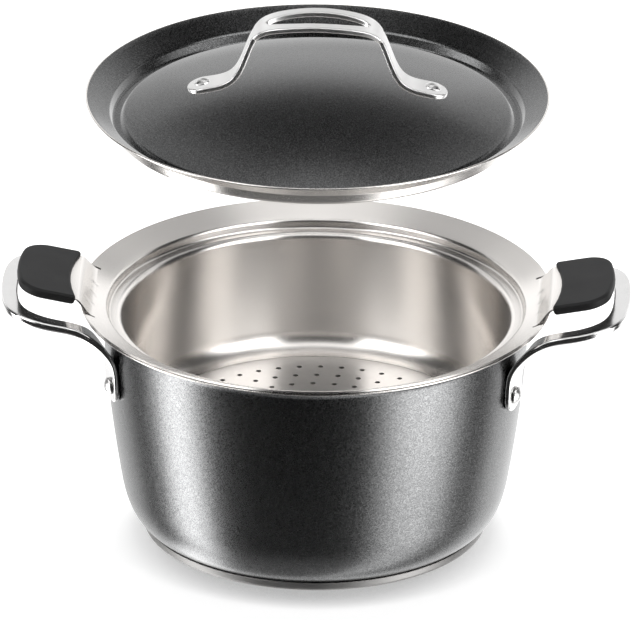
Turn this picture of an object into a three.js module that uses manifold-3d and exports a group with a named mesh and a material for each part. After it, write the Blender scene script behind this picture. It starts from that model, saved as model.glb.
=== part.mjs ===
// A two-handled stock pot with a drop-in steamer basket and a riveted lid.
// Millimetres, +Z up. The origin is the middle of the base, on the surface the pot stands on.
// The pot's handles lie along X. The lid is shown lifted straight up off its seat.

import * as THREE from 'three'
import { mergeGeometries, mergeVertices } from 'three/addons/utils/BufferGeometryUtils.js'
import Module from 'manifold-3d'

const wasm = await Module()
wasm.setup()

// Clearances
const SEAT_GAP = 0.3 // between two pieces that touch
const STEP_PLAY = 0.6 // radial play of the steamer's step in the pot's mouth
const LID_PLAY = 0.8 // radial play of the lid's neck in the steamer's step
const CUT_MARGIN = 5 // how far a cutter runs past the sheet it cuts

// Facets
const BOWL_STEPS = 36 // round a bowl or the lid
const BEND_STEP = 6 // length of one facet along a bend in a sheet
const BEND_TURN = THREE.MathUtils.degToRad(50) // and the most that it may turn
const WALL_STEPS = 4 // along the belly of the pot's wall
const FOOT_STEPS = 4 // along the rounded foot of the pot
const DOME_STEPS = 5 // along the lid's dome
const RIVET_STEPS = 8
const HOLE_SIDES = 5
const TAB_STEPS = 8 // across a lifting tab
const GRIP_STEPS = 4 // along each curve of a grip's outline
const GRIP_EDGE_STEPS = 2 // round its edges
const SLOT_STEPS = 7 // along each quarter of the lid handle's slot
const LOOP_STEPS = 25 // along a loop handle between its round ends
const STRAP_STEPS = 23 // along the lid handle between its round ends
const END_SHARES = [0.03, 0.14, 0.34, 0.62, 1] // stations in a strap's round end, as shares of its radius
const WELD = 1e-4 // points closer than this are one

// Base: an aluminium disc closed in by a thin steel cap
const CAP_LAP = 8 // from the flat underside's edge out to the cap's side
const CAP_SHEET = 0.8
const CAP_EDGE = 2.2 // outer radius of the cap's bottom edge
const CORE_H = 2.2

// Pot vessel, sizes of its outer surface
const POT_WALL = 1.2
const RIM_R = 131.8
const RIM_W = 12.6 // from the rim's edge in to the top of the wall
const WALL_TAPER = 11.2 // how much wider the wall is at its top than at its foot
const FOOT_W = 20 // from the foot of the wall in to the flat underside
const POT_FOOT_Z = 30 // where the rounded foot becomes the wall
const POT_NECK_Z = 130 // where the wall bends out into the rim
const POT_BELLY = 1.6 // swell of the wall at half height
const RIM_SLOPE = THREE.MathUtils.degToRad(23)
const RIM_BEND = 5

// Steamer basket
const STEAMER_SHEET = 1
const FLANGE_OVERHANG = 0.4 // past the pot's rim
const STEP_DEPTH = 5
const STEP_DRAFT = 1
const STEP_BEND = 1.5
const LEDGE_W = 7.4
const LEDGE_BEND = 2.5
const BASKET_DEPTH = 69.3 // ledge to floor
const BASKET_CORNER = 13
const WATER_GAP = 4.5 // basket to pot wall at the basket's floor
const HOLE_D = 3
const HOLE_MARGIN = 13.7 // outer ring of holes to the edge of the flat floor
const HOLE_RINGS = 7
const HOLES_PER_RING_STEP = 6 // ring n holds n times this many
const HOLE_TURN = THREE.MathUtils.degToRad(81.6) // common ray of the rings, from +X

// Lifting tabs of the steamer and their soft grips
const TAB_ROOT_W = 64
const TAB_KNEE_W = 59
const TAB_END_W = 40
const TAB_JOGGLE = 9 // length of the stretch that climbs off the flange
const TAB_CLIMB = 10.5 // height it climbs
const TAB_REACH = 26 // from the joggle to the end inside the grip
const TAB_TUCK = 0.25 // how much thinner the tab's hidden end is, inside the flange
const TAB_RISE = THREE.MathUtils.degToRad(10.5)
const SLOT_W = 1.6
const SLOT_DEPTH = 6.5
const GRIP_T = 5.6
const GRIP_W = 63
const GRIP_L = 34.5
const GRIP_CORNER = 15
const GRIP_HOLLOW = 4.5 // depth of the curved inner edge
const GRIP_CROWN = 4 // swell of the curved outer edge
const GRIP_EDGE = 1.7 // rounding of its edges

// Loop handles of the pot
const LEG_W = 19
const LEG_T = 3
const LEG_RISE = 13 // from the rivet up to where the leg leaves the wall
const LOOP_W = 9.5
const LOOP_T = 4.4
const LOOP_OUT = 37.7 // middle of the outer bar from the pot's rim
const LOOP_HALF = 43 // middle of an arm from the handle's middle
const LEG_IN = 3 // middle of a leg inside the middle of its arm
const LOOP_CORNER = 22
const LOOP_RISE = 9.5 // middle of the outer bar above the top of the wall
const LOOP_DROP = 7 // fall of the arms from the bar to the bend
const BEND_OUT = 2.2 // where the arm starts to turn down, from the pot's rim
const ELBOW = { out: 0.2, aside: 0.4, up: 0.42 } // the bend's lower point, as shares of the way to the arm
const SHOULDER = { out: 0.53, aside: 0.8, up: 0.78 } // and its upper point
const STRAP_CHAMFER = 0.28 // what a strap's edges lose, as a share of its thickness

// Rivets of the pot's handles
const RIVET_DROP = 32 // below the top of the wall
const RIVET_EDGE = 0.5 // chamfer of any rivet's head and tail
const RIVET_HEAD_R = 5
const RIVET_HEAD_H = 2.8
const RIVET_SHANK_R = 3
const RIVET_TAIL_R = 5.5
const RIVET_TAIL_H = 1.2

// Lid, sizes of its underside measured from its seat
const LID_SHEET = 1.2
const LID_NECK_H = 6.6
const LID_NECK_DRAFT = 1.6
const LID_NECK_BEND = 3
const LID_BRIM_W = 12.8
const LID_BRIM_RISE = 8.7
const LID_BRIM_BEND = 1.5
const LID_GROOVE_W = 6
const LID_FOOT_RUN = 2
const LID_FOOT_RISE = 3.8
const LID_FOOT_BEND = 2.2
const LID_DOME_RISE = 21.3
const LID_LIFT = 115.6 // above its seat, as shown

// Lid handle: a strap arched over the dome, with a slot through its bridge
const STRAP_T = 3
const STRAP_FOOT_W = 18
const STRAP_WAIST_W = 14.5
const STRAP_BRIDGE_W = 29
const STRAP_BRIDGE_HALF = 35 // half length of the widened bridge
const STRAP_RIVET_X = 63
const STRAP_TIP = 9 // rivet to the end of the foot
const STRAP_BEND_X = 47 // where the foot turns up into the leg
const STRAP_SHOULDER_X = 31 // where the leg turns over into the bridge
const STRAP_H = 36.6 // top of the dome to the top of the bridge
const STRAP_ARCH = 4.2 // fall from the bridge's middle to its shoulders
const STRAP_LEG = [[0, 0.08], [0.35, 0.36], [0.63, 0.72], [1, 0.97]] // shares of its lean and of its climb
const SLOT_LONG = 57
const SLOT_ACROSS = 15
const LID_RIVET_HEAD_R = 4.5
const LID_RIVET_HEAD_H = 2.4
const LID_RIVET_SHANK_R = 2.6
const LID_RIVET_TAIL_R = 5
const LID_RIVET_TAIL_H = 1

// Places worked out from the sizes above
const coreZ = CAP_SHEET + SEAT_GAP
const potBottomZ = coreZ + CORE_H + SEAT_GAP
const potNeckR = RIM_R - RIM_W
const potFootR = potNeckR - WALL_TAPER
const potFlatR = potFootR - FOOT_W
const capR = potFlatR + CAP_LAP
const rivetZ = POT_NECK_Z - RIVET_DROP
const legTipZ = rivetZ - LEG_W / 2
const legTopZ = rivetZ + LEG_RISE
const legAngle = Math.asin((LOOP_HALF - LEG_IN) / wallRadius(rivetZ)) // each side of X
const loopZ = POT_NECK_Z + LOOP_RISE
const loopReach = RIM_R + LOOP_OUT
const bendReach = RIM_R + BEND_OUT
const stepTopR = potNeckR - POT_WALL - STEP_PLAY
const stepFootR = stepTopR - STEP_DRAFT
const flangeR = RIM_R + FLANGE_OVERHANG
const ledgeZ = rimLine(stepTopR, POT_WALL + SEAT_GAP) - STEP_DEPTH
const basketTopR = stepFootR - LEDGE_W
const floorZ = ledgeZ - BASKET_DEPTH
const basketFootR = wallRadius(floorZ) - POT_WALL - WATER_GAP
const holeSpacing = (basketFootR - BASKET_CORNER - HOLE_MARGIN) / HOLE_RINGS
const lidNeckR = stepFootR - STEAMER_SHEET - LID_PLAY
const lidGrooveR = lidNeckR - LID_GROOVE_W
const lidDomeR = lidGrooveR - LID_FOOT_RUN
const domeBallR = (lidDomeR ** 2 + LID_DOME_RISE ** 2) / (2 * LID_DOME_RISE)
const lidSeatZ = ledgeZ + STEAMER_SHEET + SEAT_GAP
const tabSlotX = Math.sqrt(flangeR ** 2 - (TAB_ROOT_W / 2) ** 2) - SLOT_DEPTH
const tabRootX = tabSlotX + SLOT_W
const tabKneeX = tabRootX + TAB_JOGGLE
const tabKneeZ = flangeTop(tabRootX) + TAB_CLIMB
const tabEndX = tabKneeX + TAB_REACH

// Height of the rim's cone at a radius, lifted square to its surface
function rimLine(r, lift) {
  return POT_NECK_Z + (r - potNeckR) * Math.tan(RIM_SLOPE) + lift / Math.cos(RIM_SLOPE)
}

function flangeTop(r) {
  return rimLine(r, POT_WALL + SEAT_GAP + STEAMER_SHEET)
}

// Outer radius of the pot's wall: a straight lean with a parabolic belly
function wallRadius(z) {
  const h = (z - POT_FOOT_Z) / (POT_NECK_Z - POT_FOOT_Z)
  return potFootR + (potNeckR - potFootR) * h + 4 * POT_BELLY * h * (1 - h)
}

// Change of the wall's radius with height
function wallLean(z) {
  const height = POT_NECK_Z - POT_FOOT_Z
  const h = (z - POT_FOOT_Z) / height
  return (potNeckR - potFootR + 4 * POT_BELLY * (1 - 2 * h)) / height
}

// The rounded foot, from the flat underside into the wall
function footCurve() {
  const controlR = potFootR - (POT_FOOT_Z - potBottomZ) * wallLean(POT_FOOT_Z)
  return new THREE.QuadraticBezierCurve(
    new THREE.Vector2(potFlatR, potBottomZ),
    new THREE.Vector2(controlR, potBottomZ),
    new THREE.Vector2(potFootR, POT_FOOT_Z),
  )
}

// Height of the foot's curve over a radius
function footHeight(r) {
  const { v0, v1, v2 } = footCurve()
  const a = v0.x - 2 * v1.x + v2.x
  const b = 2 * (v1.x - v0.x)
  const c = v0.x - r
  const t = (-b + Math.sqrt(b * b - 4 * a * c)) / (2 * a)
  return footCurve().getPoint(THREE.MathUtils.clamp(t, 0, 1)).y
}

// A closed solid from a three.js geometry
function solid(geometry) {
  const bare = geometry.clone()
  bare.deleteAttribute('normal')
  bare.deleteAttribute('uv')
  const merged = mergeVertices(bare, WELD)
  const faces = []
  const index = merged.index.array
  for (let i = 0; i < index.length; i += 3) {
    const [a, b, c] = index.slice(i, i + 3)
    if (a !== b && b !== c && c !== a) faces.push(a, b, c)
  }
  const vertProperties = new Float32Array(merged.attributes.position.array)
  const mesh = new wasm.Mesh({ numProp: 3, vertProperties, triVerts: new Uint32Array(faces) })
  mesh.merge()
  return new wasm.Manifold(mesh)
}

function node(name, body, material) {
  const { vertProperties, triVerts } = body.getMesh()
  const geometry = new THREE.BufferGeometry()
  geometry.setAttribute('position', new THREE.BufferAttribute(new Float32Array(vertProperties), 3))
  geometry.setIndex(new THREE.BufferAttribute(new Uint32Array(triVerts), 1))
  geometry.computeVertexNormals()
  const mesh = new THREE.Mesh(geometry, material.clone())
  mesh.name = name
  return mesh
}

// A line of points with each corner that has a bend replaced by an arc
function bentLine(corners) {
  const line = []
  corners.forEach(([r, z, bend], i) => {
    const corner = new THREE.Vector2(r, z)
    if (!bend) {
      line.push(corner)
      return
    }
    const back = new THREE.Vector2(...corners[i - 1].slice(0, 2)).sub(corner).normalize()
    const ahead = new THREE.Vector2(...corners[i + 1].slice(0, 2)).sub(corner).normalize()
    const half = Math.acos(THREE.MathUtils.clamp(back.dot(ahead), -1, 1)) / 2
    const toCentre = back.clone().add(ahead).normalize()
    const centre = corner.clone().addScaledVector(toCentre, bend / Math.sin(half))
    const first = corner.clone().addScaledVector(back, bend / Math.tan(half)).sub(centre)
    const last = corner.clone().addScaledVector(ahead, bend / Math.tan(half)).sub(centre)
    const turn = Math.atan2(first.cross(last), first.dot(last))
    const steps = Math.ceil(Math.max((Math.abs(turn) * bend) / BEND_STEP, Math.abs(turn) / BEND_TURN))
    for (let k = 0; k <= steps; k++) {
      const spoke = first.clone().rotateAround(new THREE.Vector2(), (turn * k) / steps)
      line.push(spoke.add(centre))
    }
  })
  return line
}

// The same line moved square to itself, to its left
function beside(line, distance) {
  return line.map((point, i) => {
    const before = line[Math.max(i - 1, 0)]
    const after = line[Math.min(i + 1, line.length - 1)]
    const into = point.clone().sub(i ? before : point).normalize()
    const out = after.clone().sub(i < line.length - 1 ? point : before).normalize()
    if (!i) into.copy(out)
    if (i === line.length - 1) out.copy(into)
    const normal = new THREE.Vector2(-into.y - out.y, into.x + out.x).normalize()
    const stretch = normal.x * -into.y + normal.y * into.x
    const moved = point.clone().addScaledVector(normal, distance / stretch)
    return point.x === 0 ? moved.setX(0) : moved
  })
}

// A profile of radius and height turned round Z
function turned(profile, steps = BOWL_STEPS) {
  const geometry = new THREE.LatheGeometry(profile, steps)
  return solid(geometry.rotateX(Math.PI / 2))
}

// Sheet metal turned round Z from the line of its outer side
function spunSheet(line, thickness) {
  return turned([...line, ...beside(line, thickness).reverse()])
}

// A skin through rings of points, each end closed by a strip from one side of its ring to the other
function loft(rings) {
  const count = rings[0].length
  const lastRing = (rings.length - 1) * count
  const faces = []
  for (let j = 0; j < count; j++) {
    const k = (j + 1) % count
    for (let i = 0; i < rings.length - 1; i++) {
      const low = i * count
      const high = low + count
      faces.push(low + j, low + k, high + k, low + j, high + k, high + j)
    }
  }
  for (let j = 0; j < count / 2 - 1; j++) {
    const across = count - 1 - j
    faces.push(j, across - 1, j + 1, j, across, across - 1)
    faces.push(...[j, j + 1, across - 1, j, across - 1, across].map((corner) => lastRing + corner))
  }
  const geometry = new THREE.BufferGeometry().setFromPoints(rings.flat())
  geometry.setIndex(faces)
  return solid(geometry)
}

// A flat strap carried along a curve: its width and thickness may change along the way
function strap(curve, stations, widthAt, thicknessAt, sideAt) {
  const rings = stations.map((u) => {
    const centre = curve.getPointAt(u)
    const along = curve.getTangentAt(u)
    const side = sideAt(u, centre, along)
    const face = along.clone().cross(side).normalize()
    const w = widthAt(u, centre) / 2
    const t = thicknessAt(u, centre) / 2
    const cut = Math.min(STRAP_CHAMFER * 2 * t, w / 2)
    const section = [
      [w - cut, -t],
      [w, -t + cut],
      [w, t - cut],
      [w - cut, t],
      [cut - w, t],
      [-w, t - cut],
      [-w, cut - t],
      [cut - w, -t],
    ]
    return section.map(([a, b]) => centre.clone().addScaledVector(side, a).addScaledVector(face, b))
  })
  return loft(rings)
}

// Stations along a strap, close together round its two half-round ends
function strapStations(length, endR, inner) {
  const tip = END_SHARES.map((share) => (share * endR) / length)
  const start = endR / length
  const middle = Array.from({ length: inner }, (_, i) => start + ((1 - 2 * start) * (i + 1)) / (inner + 1))
  return [...tip, ...middle, ...tip.map((u) => 1 - u).reverse()]
}

// Width of a strap whose end is a half circle, at a distance from that end
function roundEnd(distance, endR, fullWidth) {
  if (distance >= endR) return fullWidth
  return Math.min(fullWidth, 2 * Math.sqrt(endR ** 2 - (endR - distance) ** 2))
}

// A rivet on an axis: 0 is the outer face of the wall, and the strap lies outside it
function rivetProfile(size) {
  const foot = -size.wall - size.hollow - SEAT_GAP
  const seat = SEAT_GAP + size.strap + SEAT_GAP
  return [
    [0, foot - size.tailH],
    [size.tailR - RIVET_EDGE, foot - size.tailH],
    [size.tailR, foot - size.tailH + RIVET_EDGE],
    [size.tailR, foot],
    [size.shankR, foot],
    [size.shankR, seat],
    [size.headR, seat],
    [size.headR, seat + size.headH - RIVET_EDGE],
    [size.headR - RIVET_EDGE, seat + size.headH],
    [0, seat + size.headH],
  ].map(([r, z]) => new THREE.Vector2(r, z))
}

function alongAxis(geometry, point, axis) {
  const turn = new THREE.Quaternion().setFromUnitVectors(new THREE.Vector3(0, 1, 0), axis)
  return geometry.applyQuaternion(turn).translate(...point)
}

function rivet(size, point, axis) {
  return solid(alongAxis(new THREE.LatheGeometry(rivetProfile(size), RIVET_STEPS), point, axis))
}

function rivetHole(size, point, axis) {
  const long = 2 * (size.wall + size.strap + CUT_MARGIN)
  const drill = new THREE.CylinderGeometry(size.shankR + SEAT_GAP, size.shankR + SEAT_GAP, long, RIVET_STEPS)
  return solid(alongAxis(drill, point, axis))
}

// How far a flat disc stands off the hollow side of a facetted curve that it bridges
function hollowUnder(discR, curveR, facet) {
  return (discR ** 2 + (facet / 2) ** 2) / (2 * curveR)
}

const potRivet = {
  wall: POT_WALL,
  hollow: hollowUnder(RIVET_TAIL_R, wallRadius(rivetZ), (2 * Math.PI * wallRadius(rivetZ)) / BOWL_STEPS),
  strap: LEG_T,
  headR: RIVET_HEAD_R,
  headH: RIVET_HEAD_H,
  shankR: RIVET_SHANK_R,
  tailR: RIVET_TAIL_R,
  tailH: RIVET_TAIL_H,
}
const lidRivet = {
  wall: LID_SHEET,
  hollow: hollowUnder(LID_RIVET_TAIL_R, domeBallR, lidDomeR / DOME_STEPS),
  strap: STRAP_T,
  headR: LID_RIVET_HEAD_R,
  headH: LID_RIVET_HEAD_H,
  shankR: LID_RIVET_SHANK_R,
  tailR: LID_RIVET_TAIL_R,
  tailH: LID_RIVET_TAIL_H,
}

// Base
function baseCap() {
  const top = footHeight(capR - CAP_SHEET) - SEAT_GAP
  const line = bentLine([
    [0, 0],
    [capR, 0, CAP_EDGE],
    [capR, top],
  ])
  return spunSheet(line, CAP_SHEET)
}

function baseCore() {
  const r = capR - CAP_SHEET - SEAT_GAP
  const line = bentLine([
    [0, coreZ],
    [r, coreZ, CAP_EDGE - CAP_SHEET],
    [r, coreZ + CORE_H],
    [0, coreZ + CORE_H],
  ])
  return turned(line)
}

// Pot vessel
function potLine() {
  const wallTopZ = POT_NECK_Z - RIM_BEND
  const foot = footCurve().getPoints(FOOT_STEPS)
  const wall = Array.from({ length: WALL_STEPS }, (_, i) => {
    const z = POT_FOOT_Z + ((wallTopZ - POT_FOOT_Z) * (i + 1)) / WALL_STEPS
    return [wallRadius(z), z]
  })
  return bentLine([
    [0, potBottomZ],
    ...foot.map((point) => [point.x, point.y]),
    ...wall,
    [potNeckR, POT_NECK_Z, RIM_BEND],
    [RIM_R, rimLine(RIM_R, 0)],
  ])
}

// Where a handle's leg is riveted, and the way its rivet points
function legRivet(angle) {
  const lean = wallLean(rivetZ)
  const point = new THREE.Vector3(wallRadius(rivetZ), 0, rivetZ)
  const axis = new THREE.Vector3(1, 0, -lean).normalize()
  const up = new THREE.Vector3(0, 0, 1)
  return { point: point.applyAxisAngle(up, angle), axis: axis.applyAxisAngle(up, angle) }
}

const legAngles = {
  right_front: -legAngle,
  right_rear: legAngle,
  left_front: Math.PI + legAngle,
  left_rear: Math.PI - legAngle,
}

function potVessel() {
  let body = spunSheet(potLine(), POT_WALL)
  for (const angle of Object.values(legAngles)) {
    const { point, axis } = legRivet(angle)
    body = body.subtract(rivetHole(potRivet, point, axis))
  }
  return body
}

// Middle line of a loop handle at +X: up one leg, round the loop and down the other
function handleCurve() {
  const onWall = (z) => {
    const r = wallRadius(z) + SEAT_GAP + LEG_T / 2
    return new THREE.Vector3(r * Math.cos(legAngle), -r * Math.sin(legAngle), z)
  }
  const legTop = onWall(legTopZ)
  const bendZ = loopZ - LOOP_DROP
  const armZ = (x) => loopZ - (LOOP_DROP * (loopReach - x)) / (loopReach - bendReach)
  const cornerX = loopReach - LOOP_CORNER
  const diagonal = LOOP_CORNER * (1 - Math.SQRT1_2)
  const bend = new THREE.Vector3(bendReach, -LOOP_HALF, bendZ)
  const towardsBend = ({ out, aside, up }) => {
    const way = bend.clone().sub(legTop)
    return legTop.clone().add(way.multiply(new THREE.Vector3(out, aside, up)))
  }
  const half = [
    onWall(legTipZ),
    onWall((legTipZ + legTopZ) / 2),
    legTop,
    towardsBend(ELBOW),
    towardsBend(SHOULDER),
    bend,
    new THREE.Vector3(cornerX, -LOOP_HALF, armZ(cornerX)),
    new THREE.Vector3(loopReach - diagonal, diagonal - LOOP_HALF, armZ(loopReach - diagonal)),
    new THREE.Vector3(loopReach, LOOP_CORNER - LOOP_HALF, loopZ),
  ]
  const mirrored = half.map((p) => new THREE.Vector3(p.x, -p.y, p.z)).reverse()
  return new THREE.CatmullRomCurve3([...half, ...mirrored])
}

function loopHandle() {
  const curve = handleCurve()
  const length = curve.getLength()
  const legX = (wallRadius(legTopZ) + LEG_T) * Math.cos(legAngle)
  const outness = (x) => THREE.MathUtils.smoothstep(x, legX, bendReach)
  const widthAt = (u, centre) => {
    const toEnd = Math.min(u, 1 - u) * length
    const full = THREE.MathUtils.lerp(LEG_W, LOOP_W, outness(centre.x))
    return roundEnd(toEnd, LEG_W / 2, full)
  }
  const thicknessAt = (u, centre) => THREE.MathUtils.lerp(LEG_T, LOOP_T, outness(centre.x))
  const sideAt = (u, centre, along) => {
    const rear = u > 0.5
    const leg = new THREE.Vector3(Math.sin(legAngle), rear ? -Math.cos(legAngle) : Math.cos(legAngle), 0)
    const loop = new THREE.Vector3(-along.y, along.x, 0).normalize()
    return leg.lerp(loop, outness(centre.x)).normalize()
  }
  const stations = strapStations(length, LEG_W / 2, LOOP_STEPS)
  let body = strap(curve, stations, widthAt, thicknessAt, sideAt)
  const wall = beside(potLine(), -SEAT_GAP)
  body = body.subtract(turned([...wall, new THREE.Vector2(0, wall[wall.length - 1].y)]))
  for (const angle of [-legAngle, legAngle]) {
    const { point, axis } = legRivet(angle)
    body = body.subtract(rivetHole(potRivet, point, axis))
  }
  return body
}

// Steamer basket
function basketSheet() {
  const line = bentLine([
    [0, floorZ],
    [basketFootR, floorZ, BASKET_CORNER],
    [basketTopR, ledgeZ, LEDGE_BEND],
    [stepFootR, ledgeZ, LEDGE_BEND],
    [stepTopR, rimLine(stepTopR, POT_WALL + SEAT_GAP), STEP_BEND],
    [flangeR, rimLine(flangeR, POT_WALL + SEAT_GAP)],
  ])
  return spunSheet(line, STEAMER_SHEET)
}

// Drain holes: a centre hole and rings that each hold six more than the last
function drainHoles() {
  const drills = []
  const drill = (r, angle) => {
    const long = STEAMER_SHEET + 2 * CUT_MARGIN
    const hole = new THREE.CylinderGeometry(HOLE_D / 2, HOLE_D / 2, long, HOLE_SIDES)
    hole.rotateX(Math.PI / 2)
    hole.translate(r * Math.cos(angle), r * Math.sin(angle), floorZ)
    drills.push(hole)
  }
  drill(0, 0)
  for (let ring = 1; ring <= HOLE_RINGS; ring++) {
    const count = HOLES_PER_RING_STEP * ring
    for (let i = 0; i < count; i++) drill(holeSpacing * ring, HOLE_TURN + (2 * Math.PI * i) / count)
  }
  return solid(mergeGeometries(drills))
}

// Upper side of the lifting tab at +X: out of the flange's cone, up the joggle, then flat
function tabTop(x, y) {
  if (x <= tabRootX) return flangeTop(Math.hypot(x, y))
  if (x >= tabKneeX) return tabKneeZ + (x - tabKneeX) * Math.tan(TAB_RISE)
  return THREE.MathUtils.lerp(flangeTop(Math.hypot(tabRootX, y)), tabKneeZ, (x - tabRootX) / TAB_JOGGLE)
}

function tabWidth(x) {
  if (x <= tabRootX) return TAB_ROOT_W
  if (x <= tabKneeX) return THREE.MathUtils.lerp(TAB_ROOT_W, TAB_KNEE_W, (x - tabRootX) / TAB_JOGGLE)
  return THREE.MathUtils.lerp(TAB_KNEE_W, TAB_END_W, (x - tabKneeX) / TAB_REACH)
}

// The tab as a solid, grown all round by a clearance where it cuts its grip
function tab(grow) {
  const places = [tabSlotX - SLOT_W, tabRootX, tabRootX + TAB_JOGGLE / 2, tabKneeX, tabEndX + grow]
  const rings = places.map((x, i) => {
    const skin = i ? grow : -TAB_TUCK
    const half = tabWidth(x) / 2 + grow
    const row = Array.from({ length: TAB_STEPS + 1 }, (_, j) => half * ((2 * j) / TAB_STEPS - 1))
    const top = row.map((y) => new THREE.Vector3(x, y, tabTop(x, y) + skin))
    const under = row.map((y) => new THREE.Vector3(x, y, tabTop(x, y) - STEAMER_SHEET - skin))
    return [...under, ...top.reverse()]
  })
  return loft(rings)
}

// Room for a tab and its two relief slots in the flange
function tabRoom() {
  const long = flangeR - tabSlotX + CUT_MARGIN
  const box = new THREE.BoxGeometry(long, TAB_ROOT_W + 2 * SLOT_W, 2 * STEP_DEPTH)
  return solid(box.translate(tabSlotX + long / 2, 0, flangeTop(flangeR)))
}

const halfTurn = [0, 0, 180]

function steamerBasket() {
  let body = basketSheet().subtract(drainHoles())
  body = body.subtract(tabRoom()).subtract(tabRoom().rotate(halfTurn))
  return body.add(tab(0)).add(tab(0).rotate(halfTurn))
}

// Soft grip over a tab: hollow inner edge, round outer corners, pocket for the tab
function grip() {
  const half = GRIP_W / 2
  const inset = GRIP_EDGE
  const left = inset
  const right = GRIP_L - inset
  const side = half - inset
  const shape = new THREE.Shape()
  shape.moveTo(left, -side)
  shape.lineTo(right - GRIP_CORNER, -side)
  shape.quadraticCurveTo(right - GRIP_CROWN, -side, right - GRIP_CROWN / 2, GRIP_CORNER - side)
  shape.quadraticCurveTo(right + GRIP_CROWN / 2, 0, right - GRIP_CROWN / 2, side - GRIP_CORNER)
  shape.quadraticCurveTo(right - GRIP_CROWN, side, right - GRIP_CORNER, side)
  shape.lineTo(left, side)
  shape.quadraticCurveTo(left + 2 * GRIP_HOLLOW, 0, left, -side)
  const blank = new THREE.ExtrudeGeometry(shape, {
    depth: GRIP_T - 2 * GRIP_EDGE,
    curveSegments: GRIP_STEPS,
    bevelSize: GRIP_EDGE,
    bevelThickness: GRIP_EDGE,
    bevelSegments: GRIP_EDGE_STEPS,
  })
  blank.translate(0, 0, GRIP_EDGE - GRIP_T / 2)
  blank.rotateY(-TAB_RISE)
  blank.translate(tabKneeX, 0, tabKneeZ - STEAMER_SHEET / 2)
  return solid(blank).subtract(tab(SEAT_GAP))
}

// Lid: its dome is part of a sphere, measured on the underside from the lid's seat
function domeHeight(r) {
  return LID_FOOT_RISE + LID_DOME_RISE - domeBallR + Math.sqrt(domeBallR ** 2 - r ** 2)
}

function lidShell() {
  const dome = Array.from({ length: DOME_STEPS }, (_, i) => {
    const r = (lidDomeR * i) / DOME_STEPS
    return [r, domeHeight(r)]
  })
  const line = bentLine([
    ...dome,
    [lidDomeR, LID_FOOT_RISE, LID_FOOT_BEND],
    [lidGrooveR, 0, LID_FOOT_BEND],
    [lidNeckR, 0, LID_NECK_BEND],
    [lidNeckR + LID_NECK_DRAFT, LID_NECK_H, LID_BRIM_BEND],
    [lidNeckR + LID_NECK_DRAFT + LID_BRIM_W, LID_NECK_H + LID_BRIM_RISE],
  ])
  let body = spunSheet(line, LID_SHEET)
  for (const side of [-1, 1]) {
    const { point, axis } = strapRivet(side)
    body = body.subtract(rivetHole(lidRivet, point, axis))
  }
  return body
}

// Where the lid handle is riveted to the top of the dome, square to it
function strapRivet(side) {
  const centre = new THREE.Vector3(0, 0, LID_FOOT_RISE + LID_DOME_RISE - domeBallR)
  const axis = new THREE.Vector3(side * STRAP_RIVET_X, 0, domeHeight(STRAP_RIVET_X)).sub(centre).normalize()
  return { point: centre.addScaledVector(axis, domeBallR + LID_SHEET), axis }
}

// Middle line of the lid handle, from foot to foot
function strapCurve() {
  const lift = LID_SHEET + SEAT_GAP + STRAP_T / 2
  const top = domeHeight(0) + LID_SHEET + STRAP_H - STRAP_T / 2
  const shoulder = top - STRAP_ARCH
  const onDome = (x) => new THREE.Vector3(x, 0, domeHeight(x) + lift)
  const bend = onDome(STRAP_BEND_X)
  const onLeg = ([lean, climb]) => {
    const x = THREE.MathUtils.lerp(STRAP_BEND_X, STRAP_SHOULDER_X, lean)
    return new THREE.Vector3(x, 0, THREE.MathUtils.lerp(bend.z, shoulder, climb))
  }
  const half = [
    onDome(STRAP_RIVET_X + STRAP_TIP),
    onDome(STRAP_RIVET_X),
    onDome((STRAP_RIVET_X + STRAP_BEND_X) / 2),
    ...STRAP_LEG.map(onLeg),
    new THREE.Vector3(STRAP_SHOULDER_X / 2, 0, top - STRAP_ARCH / 4),
  ]
  const middle = new THREE.Vector3(0, 0, top)
  const mirrored = half.map((p) => new THREE.Vector3(-p.x, 0, p.z)).reverse()
  return new THREE.CatmullRomCurve3([...half, middle, ...mirrored])
}

function lidHandle() {
  const curve = strapCurve()
  const length = curve.getLength()
  const widthAt = (u, centre) => {
    const x = Math.abs(centre.x)
    const toEnd = Math.min(u, 1 - u) * length
    const footward = THREE.MathUtils.smoothstep(x, STRAP_SHOULDER_X, STRAP_RIVET_X)
    const strapW = THREE.MathUtils.lerp(STRAP_WAIST_W, STRAP_FOOT_W, footward)
    const swell = Math.sqrt(Math.max(1 - (x / STRAP_BRIDGE_HALF) ** 2, 0))
    const full = strapW + (STRAP_BRIDGE_W - STRAP_WAIST_W) * swell
    return roundEnd(toEnd, STRAP_FOOT_W / 2, full)
  }
  const across = new THREE.Vector3(0, 1, 0)
  const stations = strapStations(length, STRAP_FOOT_W / 2, STRAP_STEPS)
  let body = strap(curve, stations, widthAt, () => STRAP_T, () => across)
  const slot = new THREE.Shape().absellipse(0, 0, SLOT_LONG / 2, SLOT_ACROSS / 2, 0, 2 * Math.PI)
  const cutter = new THREE.ExtrudeGeometry(slot, {
    depth: STRAP_H,
    curveSegments: SLOT_STEPS,
    bevelEnabled: false,
  })
  cutter.translate(0, 0, domeHeight(0) + STRAP_H / 2)
  body = body.subtract(solid(cutter))
  for (const side of [-1, 1]) {
    const { point, axis } = strapRivet(side)
    body = body.subtract(rivetHole(lidRivet, point, axis))
  }
  return body
}

// Finishes
function finish(color, roughness, metalness) {
  return new THREE.MeshStandardMaterial({ color, roughness, metalness })
}
const coating = finish(0x3a3c3e, 0.45, 0.35)
const brushedSteel = finish(0xc4bfb8, 0.32, 1)
const polishedSteel = finish(0xdcdcdc, 0.12, 1)
const aluminium = finish(0xb9bcc0, 0.4, 1)
const silicone = finish(0x2a2a2b, 0.75, 0)

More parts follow.
